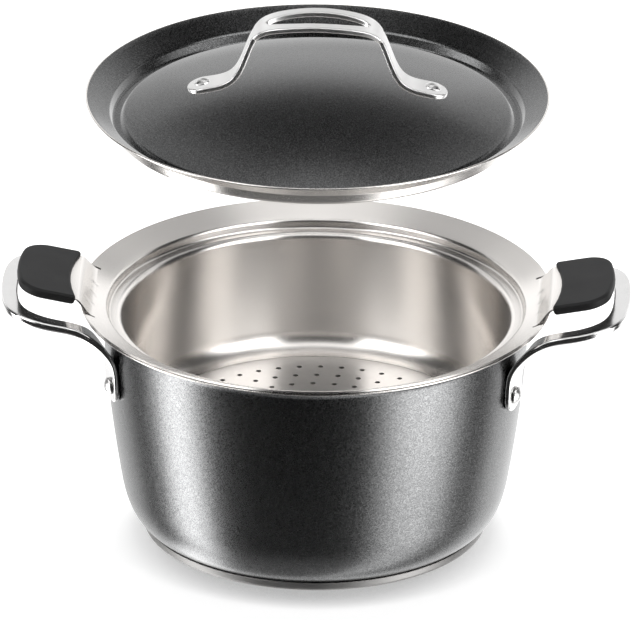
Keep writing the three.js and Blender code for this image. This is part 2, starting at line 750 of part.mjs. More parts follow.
// Assembly
const pot = new THREE.Group()
pot.add(node('base_cap', baseCap(), polishedSteel))
pot.add(node('base_core', baseCore(), aluminium))
pot.add(node('pot_vessel', potVessel(), coating))
pot.add(node('right_handle', loopHandle(), polishedSteel))
pot.add(node('left_handle', loopHandle().rotate(halfTurn), polishedSteel))
for (const [place, angle] of Object.entries(legAngles)) {
  const { point, axis } = legRivet(angle)
  pot.add(node(`${place}_rivet`, rivet(potRivet, point, axis), polishedSteel))
}

const steamer = new THREE.Group()
steamer.add(node('steamer_basket', steamerBasket(), brushedSteel))
steamer.add(node('right_grip', grip(), silicone))
steamer.add(node('left_grip', grip().rotate(halfTurn), silicone))

const lid = new THREE.Group()
lid.position.z = lidSeatZ + LID_LIFT
lid.add(node('lid_shell', lidShell(), coating))
lid.add(node('lid_handle', lidHandle(), polishedSteel))
for (const [place, side] of Object.entries({ lid_left_rivet: -1, lid_right_rivet: 1 })) {
  const { point, axis } = strapRivet(side)
  lid.add(node(place, rivet(lidRivet, point, axis), polishedSteel))
}

const object = new THREE.Group()
object.add(pot, steamer, lid)
export default object
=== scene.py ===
# %% [markdown]
# # A steamer pot in a small studio
# The pot has three loose parts: a dark coated pot with two loop handles, a steel basket with soft
# grips that hangs in its mouth, and a coated lid that is held above them. Each part is made of
# thin metal, so this lesson builds sheets and straps from a few formulas and then gives every
# piece its finish. The engineering model is loaded first, because it fixes the place and the size
# of each piece, and each new piece takes the place of one of its solids.

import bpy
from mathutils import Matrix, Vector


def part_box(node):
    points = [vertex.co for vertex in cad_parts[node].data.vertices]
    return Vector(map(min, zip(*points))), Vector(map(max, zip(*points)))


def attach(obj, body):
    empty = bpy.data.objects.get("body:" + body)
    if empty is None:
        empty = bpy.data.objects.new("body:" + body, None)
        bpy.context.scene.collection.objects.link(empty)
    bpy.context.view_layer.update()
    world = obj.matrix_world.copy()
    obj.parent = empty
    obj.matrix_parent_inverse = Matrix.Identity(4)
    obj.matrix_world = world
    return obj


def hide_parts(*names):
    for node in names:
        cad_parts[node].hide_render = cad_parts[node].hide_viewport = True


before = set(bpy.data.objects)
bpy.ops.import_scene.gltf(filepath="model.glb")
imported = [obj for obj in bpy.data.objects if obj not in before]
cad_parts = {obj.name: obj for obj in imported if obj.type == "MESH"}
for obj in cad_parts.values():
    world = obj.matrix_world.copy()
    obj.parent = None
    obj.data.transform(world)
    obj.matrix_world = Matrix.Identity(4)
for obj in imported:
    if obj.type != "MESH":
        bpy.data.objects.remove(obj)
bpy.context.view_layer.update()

# %% [markdown]
# ## Sizes
# All sizes below are in millimetres, as a maker would write them, and become metres when a mesh is
# made. The outer sizes are read off the solids, so the scene follows the model when it changes.

import bpy
import numpy as np
from mathutils import Vector
from mathutils.geometry import delaunay_2d_cdt

MM = 0.001


def extent(node):
    """Lowest and highest corner of a solid, in millimetres."""
    low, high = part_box(node)
    return np.array(low) / MM, np.array(high) / MM


rim_r = extent("pot_vessel")[1][0]
pot_bottom = extent("pot_vessel")[0][2]
cap_r, cap_top = extent("base_cap")[1][[0, 2]]
flange_r = extent("steamer_basket")[1][1]
lid_seat = extent("lid_shell")[0][2]
print(f"rim {rim_r:.1f}, base {cap_r:.1f}, flange {flange_r:.1f} mm, lid's seat at {lid_seat:.1f}")

# %% [markdown]
# ## Sheets
# Almost every piece is sheet metal. Its section is a line of straight stretches and bends, as on a
# press tool's drawing. A corner with a bend becomes an arc that touches both stretches, and long
# stretches get points in between, so that light runs evenly over them. A Bevel modifier could round
# the corners too, but on a real bend the outside has a larger radius than the inside.

# %% Lines with bends
BEND_TURN = np.radians(7)
STRETCH = 4.0


def filled(line):
    """The same line with points added until no stretch is longer than STRETCH."""
    steps = np.ceil(np.linalg.norm(np.diff(line, axis=0), axis=1) / STRETCH).astype(int).clip(1)
    start = np.repeat(np.arange(len(steps)), steps)
    share = (np.arange(steps.sum()) - np.repeat(np.cumsum(steps) - steps, steps)) / steps[start]
    inner = line[start] + (line[start + 1] - line[start]) * share[:, None]
    return np.vstack([inner, line[-1:]])


def bent(corners):
    """A line through corners (x, y, bend). At a bend, the arc's centre lies on the line that halves the
    corner, at bend over the sine of half the corner's angle, and the arc touches both stretches."""
    spots = np.array([complex(c[0], c[1]) for c in corners])
    bends = [c[2] if len(c) > 2 else 0 for c in corners]
    line = [spots[:1]]
    for before, corner, after, bend in zip(spots, spots[1:], spots[2:], bends[1:]):
        back = (before - corner) / abs(before - corner)
        ahead = (after - corner) / abs(after - corner)
        half = abs(np.angle(ahead / back)) / 2
        reach = bend / np.tan(half)
        middle = (back + ahead) / abs(back + ahead) if bend else 0
        centre = corner + middle * bend / np.sin(half)
        first = corner + back * reach - centre
        turn = np.angle((corner + ahead * reach - centre) / first) if bend else 0
        share = np.linspace(0, 1, int(abs(turn) / BEND_TURN) + 3 if bend else 1)
        line.append(centre + first * np.exp(1j * turn * share))
    line = np.concatenate([*line, spots[-1:]])
    return filled(np.stack([line.real, line.imag], 1))


print("a square corner with a bend of 10 mm has", len(bent([(0, 0), (20, 0, 10), (20, 20)])), "points")

# %% [markdown]
# The other side of a sheet is the same line moved square to itself by the sheet's thickness. The
# sheet's free edge is rounded, as a deburred edge is, so it catches a fine line of light. A Solidify
# modifier would leave that edge square.

# %% Both sides of a sheet
EDGE_STEPS = 9


def unit(rows):
    """Each row divided by its length."""
    return rows / np.linalg.norm(rows, axis=-1, keepdims=True)


def beside(line, distance):
    """The line moved to its left: each point moves along the mean of the normals of the stretches that
    meet in it, further where they turn. A point on the axis stays on it."""
    along = unit(np.diff(line, axis=0))
    normals = np.stack([-along[:, 1], along[:, 0]], 1)
    before = np.vstack([normals[:1], normals])
    mean = unit(before + np.vstack([normals, normals[-1:]]))
    moved = line + distance * mean / (mean * before).sum(1, keepdims=True)
    moved[line[:, 0] == 0, 0] = 0
    return moved


def folded(line, thickness):
    """The closed section of a sheet in three lines: one side, the half-round edge, the other side."""
    onward = unit(line[-1] - line[-2]) * thickness / 2
    line = np.vstack([line[:-1], line[-1] - onward])
    other = beside(line, thickness)
    middle = (line[-1] + other[-1]) / 2
    angle = np.linspace(0, np.pi, EDGE_STEPS)[:, None]
    edge = middle + (line[-1] - middle) * np.cos(angle) + onward * np.sin(angle)
    return line, edge, other[::-1]


print("a sheet's edge is a half circle of", EDGE_STEPS, "points")

# %% [markdown]
# A round piece is its section turned about the pot's axis. Triangles over a grid of points make the
# skin. Points that fall together, as at the axis and along seams, are welded into one, and the
# triangles that this leaves without area are dropped, so every piece is closed.

# %% Skins
ROUND_STEPS = 192
round_angles = np.linspace(0, 2 * np.pi, ROUND_STEPS, endpoint=False)


def turned(line, angles=round_angles):
    """Each point (r, z) of the line runs round the axis: x = r cos a, y = r sin a."""
    r, z = line.T[:, :, None]
    return np.stack([r * np.cos(angles), r * np.sin(angles), z + 0 * angles], -1)


def skin(points, wrap=False):
    """Two triangles for each cell of a grid of points. wrap joins the last column to the first."""
    index = np.arange(points.shape[0] * points.shape[1]).reshape(points.shape[:2])
    if wrap:
        index = np.hstack([index, index[:, :1]])
    a, b, c, d = index[:-1, :-1], index[:-1, 1:], index[1:, 1:], index[1:, :-1]
    return points.reshape(-1, 3), np.stack([a, b, c, a, c, d], -1).reshape(-1, 3)


print("a round piece has", ROUND_STEPS, "steps round the axis")

# %% Welding
WELD = 1e-4
WELD_SHIFT = 0.37


def welded(*skins):
    """Several skins as one, with the points that fall together made one point: (points, triangles, the
    skin that each triangle comes from, the first point welded into each). Points fall together if they lie
    in one cell of a fine grid, which is shifted so that round sizes don't lie on the borders of cells."""
    starts = np.cumsum([0, *(len(points) for points, _ in skins)])
    points = np.concatenate([points for points, _ in skins])
    faces = np.concatenate([faces + start for (_, faces), start in zip(skins, starts)])
    part = np.repeat(np.arange(len(skins)), [len(faces) for _, faces in skins])
    cells = np.floor(points / WELD + WELD_SHIFT)
    _, first, same = np.unique(cells, axis=0, return_index=True, return_inverse=True)
    faces = same.ravel()[faces]
    whole = (faces != np.roll(faces, 1, axis=1)).all(1)
    return points[first], faces[whole], part[whole], first


def free_edges(faces):
    """The edges that only one triangle has, in the direction that this triangle runs along them."""
    edges = faces[:, [0, 1, 1, 2, 2, 0]].reshape(-1, 2)
    _, first, count = np.unique(np.sort(edges, 1), axis=0, return_index=True, return_counts=True)
    return edges[first[count == 1]]


print("points in one cell of", WELD, "mm become one")

# %% [markdown]
# A finished skin goes into a mesh at the origin, rides on its part of the pot and replaces its
# solids. Where a surface's own normals are known from its formula, they are handed over, so that
# polished metal mirrors smoothly; otherwise edges sharper than CREASE stay crisp.

# %% Meshes
CREASE = np.radians(40)


def mesh_of(name, points, faces):
    """A mesh of triangles between points in millimetres."""
    mesh = bpy.data.meshes.new(name)
    mesh.vertices.add(len(points))
    mesh.vertices.foreach_set("co", (points * MM).astype(np.float32).ravel())
    mesh.loops.add(faces.size)
    mesh.loops.foreach_set("vertex_index", faces.astype(np.int32).ravel())
    mesh.polygons.add(len(faces))
    mesh.polygons.foreach_set("loop_start", np.arange(0, faces.size, 3, dtype=np.int32))
    return mesh


def dress(mesh, part, looks):
    """Gives each triangle the finish of its part. Parts past the end of looks share its last finish."""
    finishes = list(dict.fromkeys(looks))
    finish_of = np.array([finishes.index(look) for look in looks], dtype=np.int32)
    for look in finishes:
        mesh.materials.append(look)
    mesh.polygons.foreach_set("material_index", finish_of[np.minimum(part, len(looks) - 1)])


def piece(name, made, looks, body, nodes, normals=None):
    """An object from (points in mm, triangles, part of each triangle). looks holds each part's finish."""
    points, faces, part = made[:3]
    mesh = mesh_of(name, points, faces)
    dress(mesh, part, looks)
    mesh.update(calc_edges=True)
    mesh.shade_smooth()
    if normals is None:
        mesh.set_sharp_from_angle(angle=CREASE)
    else:
        mesh.normals_split_custom_set_from_vertices(normals)
    thing = bpy.data.objects.new(name, mesh)
    bpy.context.scene.collection.objects.link(thing)
    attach(thing, body)
    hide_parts(*nodes)
    print(f"{name}: {len(faces)} triangles, {len(free_edges(faces))} free edges")


# %% [markdown]
# ## Finishes
# Shader maths reads best as plain sums. The class below wraps a socket, and each sum adds its Math
# node to the material. Any other node comes from one method, which takes the node's settings first
# and then the values or links of its sockets.

# %% Sums of sockets
class Wire:
    """A value in a material. Sums with numbers and other wires become Math nodes."""

    def __init__(self, tree, socket):
        self.tree = tree
        self.socket = socket

    def node(self, kind, settings, sockets, out=0):
        """A node of a kind: its settings are set first, then each socket gets its value or its link."""
        made = self.tree.nodes.new(kind)
        for name, value in settings.items():
            setattr(made, name, value)
        for name, value in sockets.items():
            if isinstance(value, Wire):
                self.tree.links.new(value.socket, made.inputs[name])
            else:
                made.inputs[name].default_value = value
        return Wire(self.tree, made.outputs[out])

    def axes(self):
        """The three numbers of a vector."""
        split = self.node("ShaderNodeSeparateXYZ", {}, {"Vector": self}).socket.node
        return [Wire(self.tree, socket) for socket in split.outputs]

    def sum(self, operation, *terms):
        """A Math node over wires and numbers."""
        return self.node("ShaderNodeMath", {"operation": operation}, dict(enumerate(terms)))

    def __add__(self, other):
        return self.sum("ADD", self, other)

    def __sub__(self, other):
        return self.sum("SUBTRACT", self, other)

    def __rsub__(self, other):
        return self.sum("SUBTRACT", other, self)

    def __mul__(self, other):
        return self.sum("MULTIPLY", self, other)

    def __pow__(self, other):
        return self.sum("POWER", self, other)

    __radd__ = __add__


# %% [markdown]
# A finish starts from the standard shader. What is the same all over is set on the shader itself,
# and what varies over the surface is linked to it. Every pattern reads the place of a point on its
# piece, so it stays put when the piece moves.

# %% Finishes in general
BUMP_DEPTH = 0.0001


def finish(name, **constants):
    """A new material, its shader and the place of a point on the piece."""
    material = bpy.data.materials.new(name)
    material.use_nodes = True
    tree = material.node_tree
    shader = tree.nodes["Principled BSDF"]
    for socket, value in constants.items():
        shader.inputs[socket.replace("_", " ")].default_value = value
    return material, shader, Wire(tree, None).node("ShaderNodeTexCoord", {}, {}, "Object")


def feed(shader, **wires):
    """Links what varies over a surface to the shader's sockets."""
    for socket, wire in wires.items():
        wire.tree.links.new(wire.socket, shader.inputs[socket.replace("_", " ")])


def noise(place, scale, detail=2.0):
    """Soft random spots, scale of them to the metre."""
    return place.node("ShaderNodeTexNoise", {}, {"Vector": place, "Scale": scale, "Detail": detail})


def blend(factor, dark, light):
    """A colour from dark to light: dark plus factor times what light has more."""
    sockets = {0: factor, 6: (*dark, 1), 7: (*light, 1)}
    return factor.node("ShaderNodeMix", {"data_type": "RGBA"}, sockets, 2)


def bumps(height, strength):
    """The surface's direction, tilted as if its height varied by BUMP_DEPTH."""
    sockets = {"Height": height, "Strength": strength, "Distance": BUMP_DEPTH}
    return height.node("ShaderNodeBump", {}, sockets)


# %% [markdown]
# ### The dark coating
# The outside of the pot and the top of the lid carry a baked anthracite coating with fine metal
# flakes in it. Each flake is a cell of a Voronoi pattern under a millimetre across: most are nearly
# as dark as the coat, and a few are bright. The coat itself is satin and a little uneven, like the
# skin of an orange, which a small bump gives. The lid gets a darkened copy of the same coat: a painted
# shade, the same coat shown in less light.

# %% Coating
FLAKE = 0.0004
PEEL = 0.0007
LID_PAINTED_SHADE = 0.63
COAT_DARK = np.array([0.09, 0.091, 0.092])
COAT_LIGHT = np.array([0.29, 0.292, 0.294])
COAT_ROUGH, FLAKE_ROUGH = 0.22, 0.1
FLAKE_TILT, COAT_BUMP = 0.6, 0.1


def coating_finish(name, shade):
    """Dark coating with flakes. The Math nodes turn each cell's random colour into one grey, which gives the
    flake its lightness, tilt and gloss. A shade below 1 darkens this copy of the coat as a whole: painted
    shade."""
    material, shader, place = finish(name, Metallic=1.0)
    flake = place.node("ShaderNodeTexVoronoi", {}, {"Vector": place, "Scale": 1 / FLAKE}, "Color")
    peel = noise(place, 1 / PEEL)
    feed(shader, Base_Color=blend(flake**2, shade * COAT_DARK, shade * COAT_LIGHT))
    feed(shader, Roughness=COAT_ROUGH + flake * FLAKE_ROUGH)
    feed(shader, Normal=bumps(peel + flake * FLAKE_TILT, COAT_BUMP))
    return material


pot_coating = coating_finish("anthracite coating", 1.0)
# painted shade: the lid's copy of the coating is darkened as a whole
shaded_lid_coating = coating_finish("anthracite coating with painted shade", LID_PAINTED_SHADE)
print(pot_coating.name, "and", shaded_lid_coating.name, "with flakes of", FLAKE, "m")

# %% [markdown]
# ### Steel
# The basket is brushed round its axis, so the fine lines depend only on how far a point is from the
# axis and how high it is. Brushing spreads a mirrored light across the lines: that is an anisotropic
# gloss, turned a quarter so that it spreads up and down the wall. Its tight corners are painted darker
# by the ambient occlusion: painted shade.

# %% Brushed steel
BRUSH = 0.001
CLOUD_SPOTS = 18.0
BRUSH_DARK = (0.3, 0.283, 0.268)
BRUSH_LIGHT = (0.84, 0.812, 0.785)
LINE_SHARE, CLOUD_SHARE, EVEN_SHARE = 0.1, 0.2, 0.7
BRUSH_ROUGH, ROUGH_SPREAD = 0.22, 0.03
CORNER = 0.004
QUARTER = 0.25


def brushed_finish():
    """Brushed steel: fine lines over (radius, height) and wide clouds set its tone, which the share of open
    directions around a point then multiplies, a painted shade in tight corners."""
    material, shader, place = finish(
        "brushed steel", Metallic=1.0, Anisotropic=0.85, Anisotropic_Rotation=QUARTER)
    x, y, z = place.axes()
    ring = place.node("ShaderNodeCombineXYZ", {}, {"X": (x * x + y * y) ** 0.5, "Y": z})
    lines = noise(ring, 1 / BRUSH, 3.0)
    clouds = noise(place, CLOUD_SPOTS)
    painted_corner_shade = place.node("ShaderNodeAmbientOcclusion", {"samples": 8}, {"Distance": CORNER}, "AO")
    # painted shade: the tone is multiplied by the share of open directions, so it darkens in tight corners
    tone = (lines * LINE_SHARE + clouds * CLOUD_SHARE + EVEN_SHARE) * painted_corner_shade
    feed(shader, Base_Color=blend(tone, BRUSH_DARK, BRUSH_LIGHT))
    feed(shader, Roughness=BRUSH_ROUGH + lines * ROUGH_SPREAD + clouds * ROUGH_SPREAD)
    return material


brushed_steel = brushed_finish()
print(brushed_steel.name, "with lines of", BRUSH, "m")

# %% [markdown]
# The other metals have no lines, and differ in how light, how rough and how blotchy they are. The loop
# handles are polished and carry faint wiping marks, the lid's handle and the rivets are satin, the
# basket's floor is plain rolled sheet, and the cap round the base is dull and made far darker than
# the other steel, a painted shade for its low spot by the table. So one function makes them.

# %% Plain metals
def plain_metal(name, grain, detail, dark, light, rough, spread):
    """Bare metal: noise with grain spots to the metre moves its tone from dark to light, and its roughness
    from rough up by spread."""
    material, shader, place = finish(name, Metallic=1.0)
    marks = noise(place, grain, detail)
    feed(shader, Base_Color=blend(marks, dark, light), Roughness=rough + marks * spread)
    return material


polished_steel = plain_metal("polished steel", 140, 4, (0.72, 0.715, 0.71), (0.8, 0.795, 0.79), 0.12, 0.08)
satin_steel = plain_metal("satin steel", 220, 4, (0.7, 0.695, 0.69), (0.78, 0.775, 0.77), 0.26, 0.1)
rolled_steel = plain_metal("rolled steel", 300, 4, (0.6, 0.585, 0.57), (0.68, 0.665, 0.65), 0.36, 0.1)
# painted shade: the cap's steel is darkened far below the tone of bare steel
shaded_base_steel = plain_metal("dull base steel with painted shade", 60, 3, (0.2, 0.196, 0.192), (0.28, 0.275, 0.27), 0.42, 0.12)
print(polished_steel.name, satin_steel.name, rolled_steel.name, shaded_base_steel.name, sep=", ")

# %% [markdown]
# ### Silicone and aluminium
# The grips are black silicone: matt, slightly dusty, with a fine moulded grain. The aluminium disc
# in the base is closed in and never shows, but it keeps an honest finish.

# %% Silicone and aluminium
GRAIN = 1500.0
DUST = 60.0
GRIP_DARK = (0.008, 0.008, 0.0083)
GRIP_LIGHT = (0.014, 0.014, 0.0144)
GRIP_ROUGH, DUST_ROUGH = 0.5, 0.16
GRAIN_BUMP = 0.12


def silicone_finish():
    """Black silicone: wide dust lightens and roughens it, and a fine grain is pressed into it."""
    material, shader, place = finish("black silicone", IOR=1.42, Specular_IOR_Level=0.35)
    dust = noise(place, DUST, 3.0)
    feed(shader, Base_Color=blend(dust, GRIP_DARK, GRIP_LIGHT))
    feed(shader, Roughness=GRIP_ROUGH + dust * DUST_ROUGH, Normal=bumps(noise(place, GRAIN), GRAIN_BUMP))
    return material


silicone = silicone_finish()
aluminium = plain_metal("bare aluminium", 300, 2, (0.66, 0.67, 0.68), (0.74, 0.75, 0.76), 0.35, 0.1)
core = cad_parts["base_core"]
core.data.materials.clear()
core.data.materials.append(aluminium)
print(silicone.name, "and", aluminium.name)

# %% [markdown]
# ## The pot
# The vessel is pressed from one disc. Its flat underside rolls into a rounded foot, which is a
# quadratic curve that ends in the wall's own slope. The wall leans out with a slight belly and then
# bends into a flared rim. The outside is coated, while the inside and the rim's edge stay bare.

# %% The pot's section
POT_WALL = 1.2
RIM_W = 12.6
WALL_TAPER = 11.2
FOOT_W = 20.0
FOOT_Z = 30.0
NECK_Z = 130.0
BELLY = 1.6
RIM_SLOPE = np.radians(23)
RIM_BEND = 5.0
FOOT_STEPS = 24
WALL_STEPS = 40
neck_r = rim_r - RIM_W
foot_r = neck_r - WALL_TAPER
flat_r = foot_r - FOOT_W


def rim_line(r, lift=0.0):
    """Height of the rim's cone at a radius, lifted square to its surface."""
    return NECK_Z + (r - neck_r) * np.tan(RIM_SLOPE) + lift / np.cos(RIM_SLOPE)


def wall_radius(z):
    """Outer radius of the wall: a straight lean, and a parabola that swells it at half height."""
    h = (z - FOOT_Z) / (NECK_Z - FOOT_Z)
    return foot_r + WALL_TAPER * h + 4 * BELLY * h * (1 - h)


def wall_lean(z):
    """How fast the wall's radius grows with height."""
    h = (z - FOOT_Z) / (NECK_Z - FOOT_Z)
    return (WALL_TAPER + 4 * BELLY * (1 - 2 * h)) / (NECK_Z - FOOT_Z)


def foot_curve():
    """Quadratic curve from the flat underside to the wall, tangent to both."""
    t = np.linspace(0, 1, FOOT_STEPS)[:, None]
    start, end = np.array([flat_r, pot_bottom]), np.array([foot_r, FOOT_Z])
    control = np.array([foot_r - (FOOT_Z - pot_bottom) * wall_lean(FOOT_Z), pot_bottom])
    return (1 - t) ** 2 * start + 2 * t * (1 - t) * control + t**2 * end


print(f"neck {neck_r:.1f}, foot {foot_r:.1f}, flat underside {flat_r:.1f} mm")

# %% Vessel and base cap
CAP_SHEET = 0.8
CAP_EDGE = 2.2


def pot_line():
    """The outside of the vessel from the axis to the rim."""
    z = np.linspace(FOOT_Z, NECK_Z - RIM_BEND, WALL_STEPS)[1:]
    wall = np.stack([wall_radius(z), z], 1)
    ends = [(neck_r, NECK_Z, RIM_BEND), (rim_r, rim_line(rim_r))]
    return bent([(0, pot_bottom), *foot_curve(), *wall, *ends])


def spun(line, thickness):
    """A sheet turned about the axis, in three skins: one side, the edge and the other side."""
    return welded(*(skin(turned(part), wrap=True) for part in folded(line, thickness)))


vessel = spun(pot_line(), POT_WALL)
vessel_looks = [pot_coating, brushed_steel, brushed_steel]
piece("pot-vessel", vessel, vessel_looks, "pot", ["pot_vessel"])
cap = spun(bent([(0, 0), (cap_r, 0, CAP_EDGE), (cap_r, cap_top)]), CAP_SHEET)
piece("base-cap", cap, [shaded_base_steel], "pot", ["base_cap"])

# %% [markdown]
# ## Straps
# The handles are cut flat from strip, their edges are rounded, and then they are bent. The same
# three steps work here: a flat blank with loops for its outline and its holes, a rounded rim along
# each loop, and a path that every point of the blank follows. A bevelled curve would be quicker, but
# its section keeps one shape all along, and it has no slots. The flat faces are triangulated around the
# loops, which leaves holes open.

# %% Filling flat shapes
SAME_SPOT = 1e-7


def inside(spots, loops):
    """True for the flat spots with an odd number of loop edges to their right."""
    x, y = spots[:, :1], spots[:, 1:]
    hits = np.zeros(len(spots), int)
    for loop in loops:
        (ax, ay), (bx, by) = loop.T, np.roll(loop, -1, axis=0).T
        spans = (ay > y) != (by > y)
        rise = np.where(by == ay, 1.0, by - ay)
        hits += (spans & (x < ax + (y - ay) * (bx - ax) / rise)).sum(1)
    return hits % 2 == 1


def covering(loops, extra):
    """Triangles between loops, with extra spots among their corners: (spots, triangles)."""
    spots = np.vstack([*loops, extra])
    starts = np.cumsum([0, *map(len, loops)])
    edges = np.vstack([
        np.stack([np.arange(len(loop)), np.roll(np.arange(len(loop)), -1)], 1) + start
        for loop, start in zip(loops, starts)])
    found = delaunay_2d_cdt([Vector(spot) for spot in spots], edges.tolist(), [], 0, SAME_SPOT)
    first = np.array([origin[0] for origin in found[3]])
    faces = first[np.array(found[2])]
    faces = faces[inside(spots[faces].mean(1), loops)]
    a, b, c = spots[faces].swapaxes(0, 1)
    back = np.cross(b - a, c - a) < 0
    faces[back] = faces[back][:, ::-1]
    return spots, faces


print("two spots within", SAME_SPOT, "mm count as one")

# %% Flat blanks
RIM_STEPS = 6


def blank(loops, edge, thickness, extra):
    """A flat blank of points (s, y, t) with its normals and triangles. Along each loop, the rim is a half
    turn: it starts edge inside the loop on one face and ends there on the other, through the loop itself."""
    half, quarter = thickness / 2, np.pi / 2
    angle = np.r_[np.linspace(-quarter, 0, RIM_STEPS), np.linspace(0, quarter, RIM_STEPS)][:, None, None]
    face = np.repeat([-1, 1], RIM_STEPS)[:, None, None]
    level = face * (half - edge) + edge * np.sin(angle)
    rims, rim_normals, insets = [], [], []
    for loop in loops:
        along = np.roll(loop, -1, axis=0) - np.roll(loop, 1, axis=0)
        out = unit(np.stack([along[:, 1], -along[:, 0]], 1))
        flat = loop - out * edge * (1 - np.cos(angle))
        rims.append(skin(np.concatenate([flat, level + 0 * flat[..., :1]], -1), wrap=True))
        rim_normals.append(np.concatenate([out * np.cos(angle), np.sin(angle) + 0 * flat[..., :1]], -1))
        insets.append(loop - out * edge)
    spots, faces = covering(insets, extra)
    top = np.column_stack([spots, np.full(len(spots), half)])
    under = np.column_stack([spots, np.full(len(spots), -half)])
    up = np.tile([0.0, 0.0, 1.0], (len(spots), 1))
    points, faces, part, first = welded(*rims, (top, faces), (under, faces[:, ::-1]))
    normals = np.vstack([*(n.reshape(-1, 3) for n in rim_normals), up, -up])[first]
    used, compact = np.unique(faces, return_inverse=True)
    return points[used], compact.reshape(faces.shape), part, normals[used]


print("a blank's rim has", 2 * RIM_STEPS, "points from face to face")

# %% [markdown]
# A path is a smooth curve through a few spots: cubic stretches that agree in slope and in bend where
# they meet, so a polished strap shows no kink. At each step it carries three directions: along the
# path, aside across the strap, and up out of its face.

# %% Paths
PATH_STEPS = 400
FINE = 16


def spline(spots):
    """Cubic stretches through spots with the same slope and bend on both sides of each, timed by the root
    of the distance between spots, and returned at PATH_STEPS even steps of length."""
    spots = np.asarray(spots, float)
    time = np.concatenate([[0], np.cumsum(np.sqrt(np.linalg.norm(np.diff(spots, axis=0), axis=1)))])
    gap = np.diff(time)
    inner = np.arange(1, len(spots) - 1)
    system = np.eye(len(spots))
    system[inner, inner - 1] = gap[:-1]
    system[inner, inner] = 2 * (gap[:-1] + gap[1:])
    system[inner, inner + 1] = gap[1:]
    pull = np.zeros_like(spots)
    pull[1:-1] = 6 * np.diff(np.diff(spots, axis=0) / gap[:, None], axis=0)
    bend = np.linalg.solve(system, pull)
    t = np.linspace(0, time[-1], FINE * PATH_STEPS)
    k = np.clip(np.searchsorted(time, t, side="right") - 1, 0, len(gap) - 1)
    h, ahead, behind = gap[k][:, None], (time[k + 1] - t)[:, None], (t - time[k])[:, None]
    line = (bend[k] * ahead**3 + bend[k + 1] * behind**3) / (6 * h)
    line += (spots[k] / h - bend[k] * h / 6) * ahead + (spots[k + 1] / h - bend[k + 1] * h / 6) * behind
    length = np.concatenate([[0], np.cumsum(np.linalg.norm(np.diff(line, axis=0), axis=1))])
    even = np.linspace(0, length[-1], PATH_STEPS)
    return np.stack([np.interp(even, length, axis) for axis in line.T], 1)


def path_of(line, aside):
    """A path: its length at each step, its points and its three directions there."""
    along = unit(np.gradient(line, axis=0))
    aside = unit(aside - along * (aside * along).sum(1, keepdims=True))
    length = np.concatenate([[0], np.cumsum(np.linalg.norm(np.diff(line, axis=0), axis=1))])
    return length, line, along, aside, np.cross(along, aside)


print("a path has", PATH_STEPS, "steps")

# %% Outlines and bending
END_STEPS = 24


def bent_along(path, made, thickness=1.0):
    """A blank's point (s, y, t) goes to the path's point at length s, moved y aside and t up. thickness
    stretches t along the path."""
    length, *rows = path
    points, faces, part, normals = made
    centre, along, aside, up = (
        np.stack([np.interp(points[:, 0], length, axis) for axis in row.T], 1) for row in rows)
    lift = points[:, 2:] * np.interp(points[:, 0], length, thickness * np.ones(len(length)))[:, None]
    moved = centre + aside * points[:, 1:2] + up * lift
    turned_normals = along * normals[:, :1] + aside * normals[:, 1:2] + up * normals[:, 2:]
    return (moved, faces, part), unit(turned_normals)


def lattice(loops, step_s, step_y, clear):
    """Even spots inside loops, more than clear away from every point of the loops."""
    low, high = loops[0].min(0), loops[0].max(0)
    s = np.arange(low[0], high[0], step_s)
    y = np.arange(-np.floor(high[1] / step_y), np.floor(high[1] / step_y) + 1) * step_y
    spots = np.stack(np.meshgrid(s, y), -1).reshape(-1, 2)
    spots = spots[inside(spots, loops)]
    gaps = np.hypot(*(spots[:, None] - np.vstack(loops)).T)
    return spots[gaps.min(0) > clear]


def strap_outline(length, width):
    """Outline of a strap with half-round ends: width is its width at even steps along it."""
    s = np.linspace(0, length, len(width))
    r = width[0] / 2
    turn = np.linspace(0, np.pi, END_STEPS)
    middle = s[(s > r) & (s < length - r)]
    half = np.interp(middle, s, width) / 2
    lower, upper = np.stack([middle, -half], 1), np.stack([middle, half], 1)[::-1]
    far = np.stack([length - r + r * np.sin(turn), -r * np.cos(turn)], 1)
    near = np.stack([r - r * np.sin(turn), r * np.cos(turn)], 1)
    return np.vstack([lower, far, upper, near])


print("a strap's round end has", END_STEPS, "points")

# %% [markdown]
# ## The loop handles
# Each loop is one strap of polished steel. It lies flat against the wall at a riveted leg, turns
# outward under the rim, runs round the loop with its broad side up, and comes back down to the
# other leg. The legs are broad and thin, and the loop is narrow and thick.

# %% The handle's path
SEAT_GAP = 0.3
LEG_W = 19.0
LEG_T = 3.0
LEG_RISE = 13.0
LEG_IN = 3.0
LOOP_W = 9.5
LOOP_T = 4.4
LOOP_OUT = 37.7
LOOP_BOW = 1.2
LOOP_HALF = 43.0
LOOP_CORNER = 22.0
LOOP_RISE = 9.5
LOOP_DROP = 7.0
BEND_OUT = 2.2
RIVET_DROP = 32.0
ELBOW = np.array([0.2, 0.4, 0.42])
SHOULDER = np.array([0.53, 0.8, 0.78])
rivet_z = NECK_Z - RIVET_DROP
leg_angle = np.arcsin((LOOP_HALF - LEG_IN) / wall_radius(rivet_z))
bend_reach = rim_r + BEND_OUT


def smooth(share):
    """Climbs from 0 to 1 with level ends: 3 s squared less 2 s cubed."""
    share = np.clip(share, 0, 1)
    return share * share * (3 - 2 * share)


def on_wall(z):
    """Middle of the front leg at a height."""
    r = wall_radius(z) + SEAT_GAP + LEG_T / 2
    return np.array([r * np.cos(leg_angle), -r * np.sin(leg_angle), z])


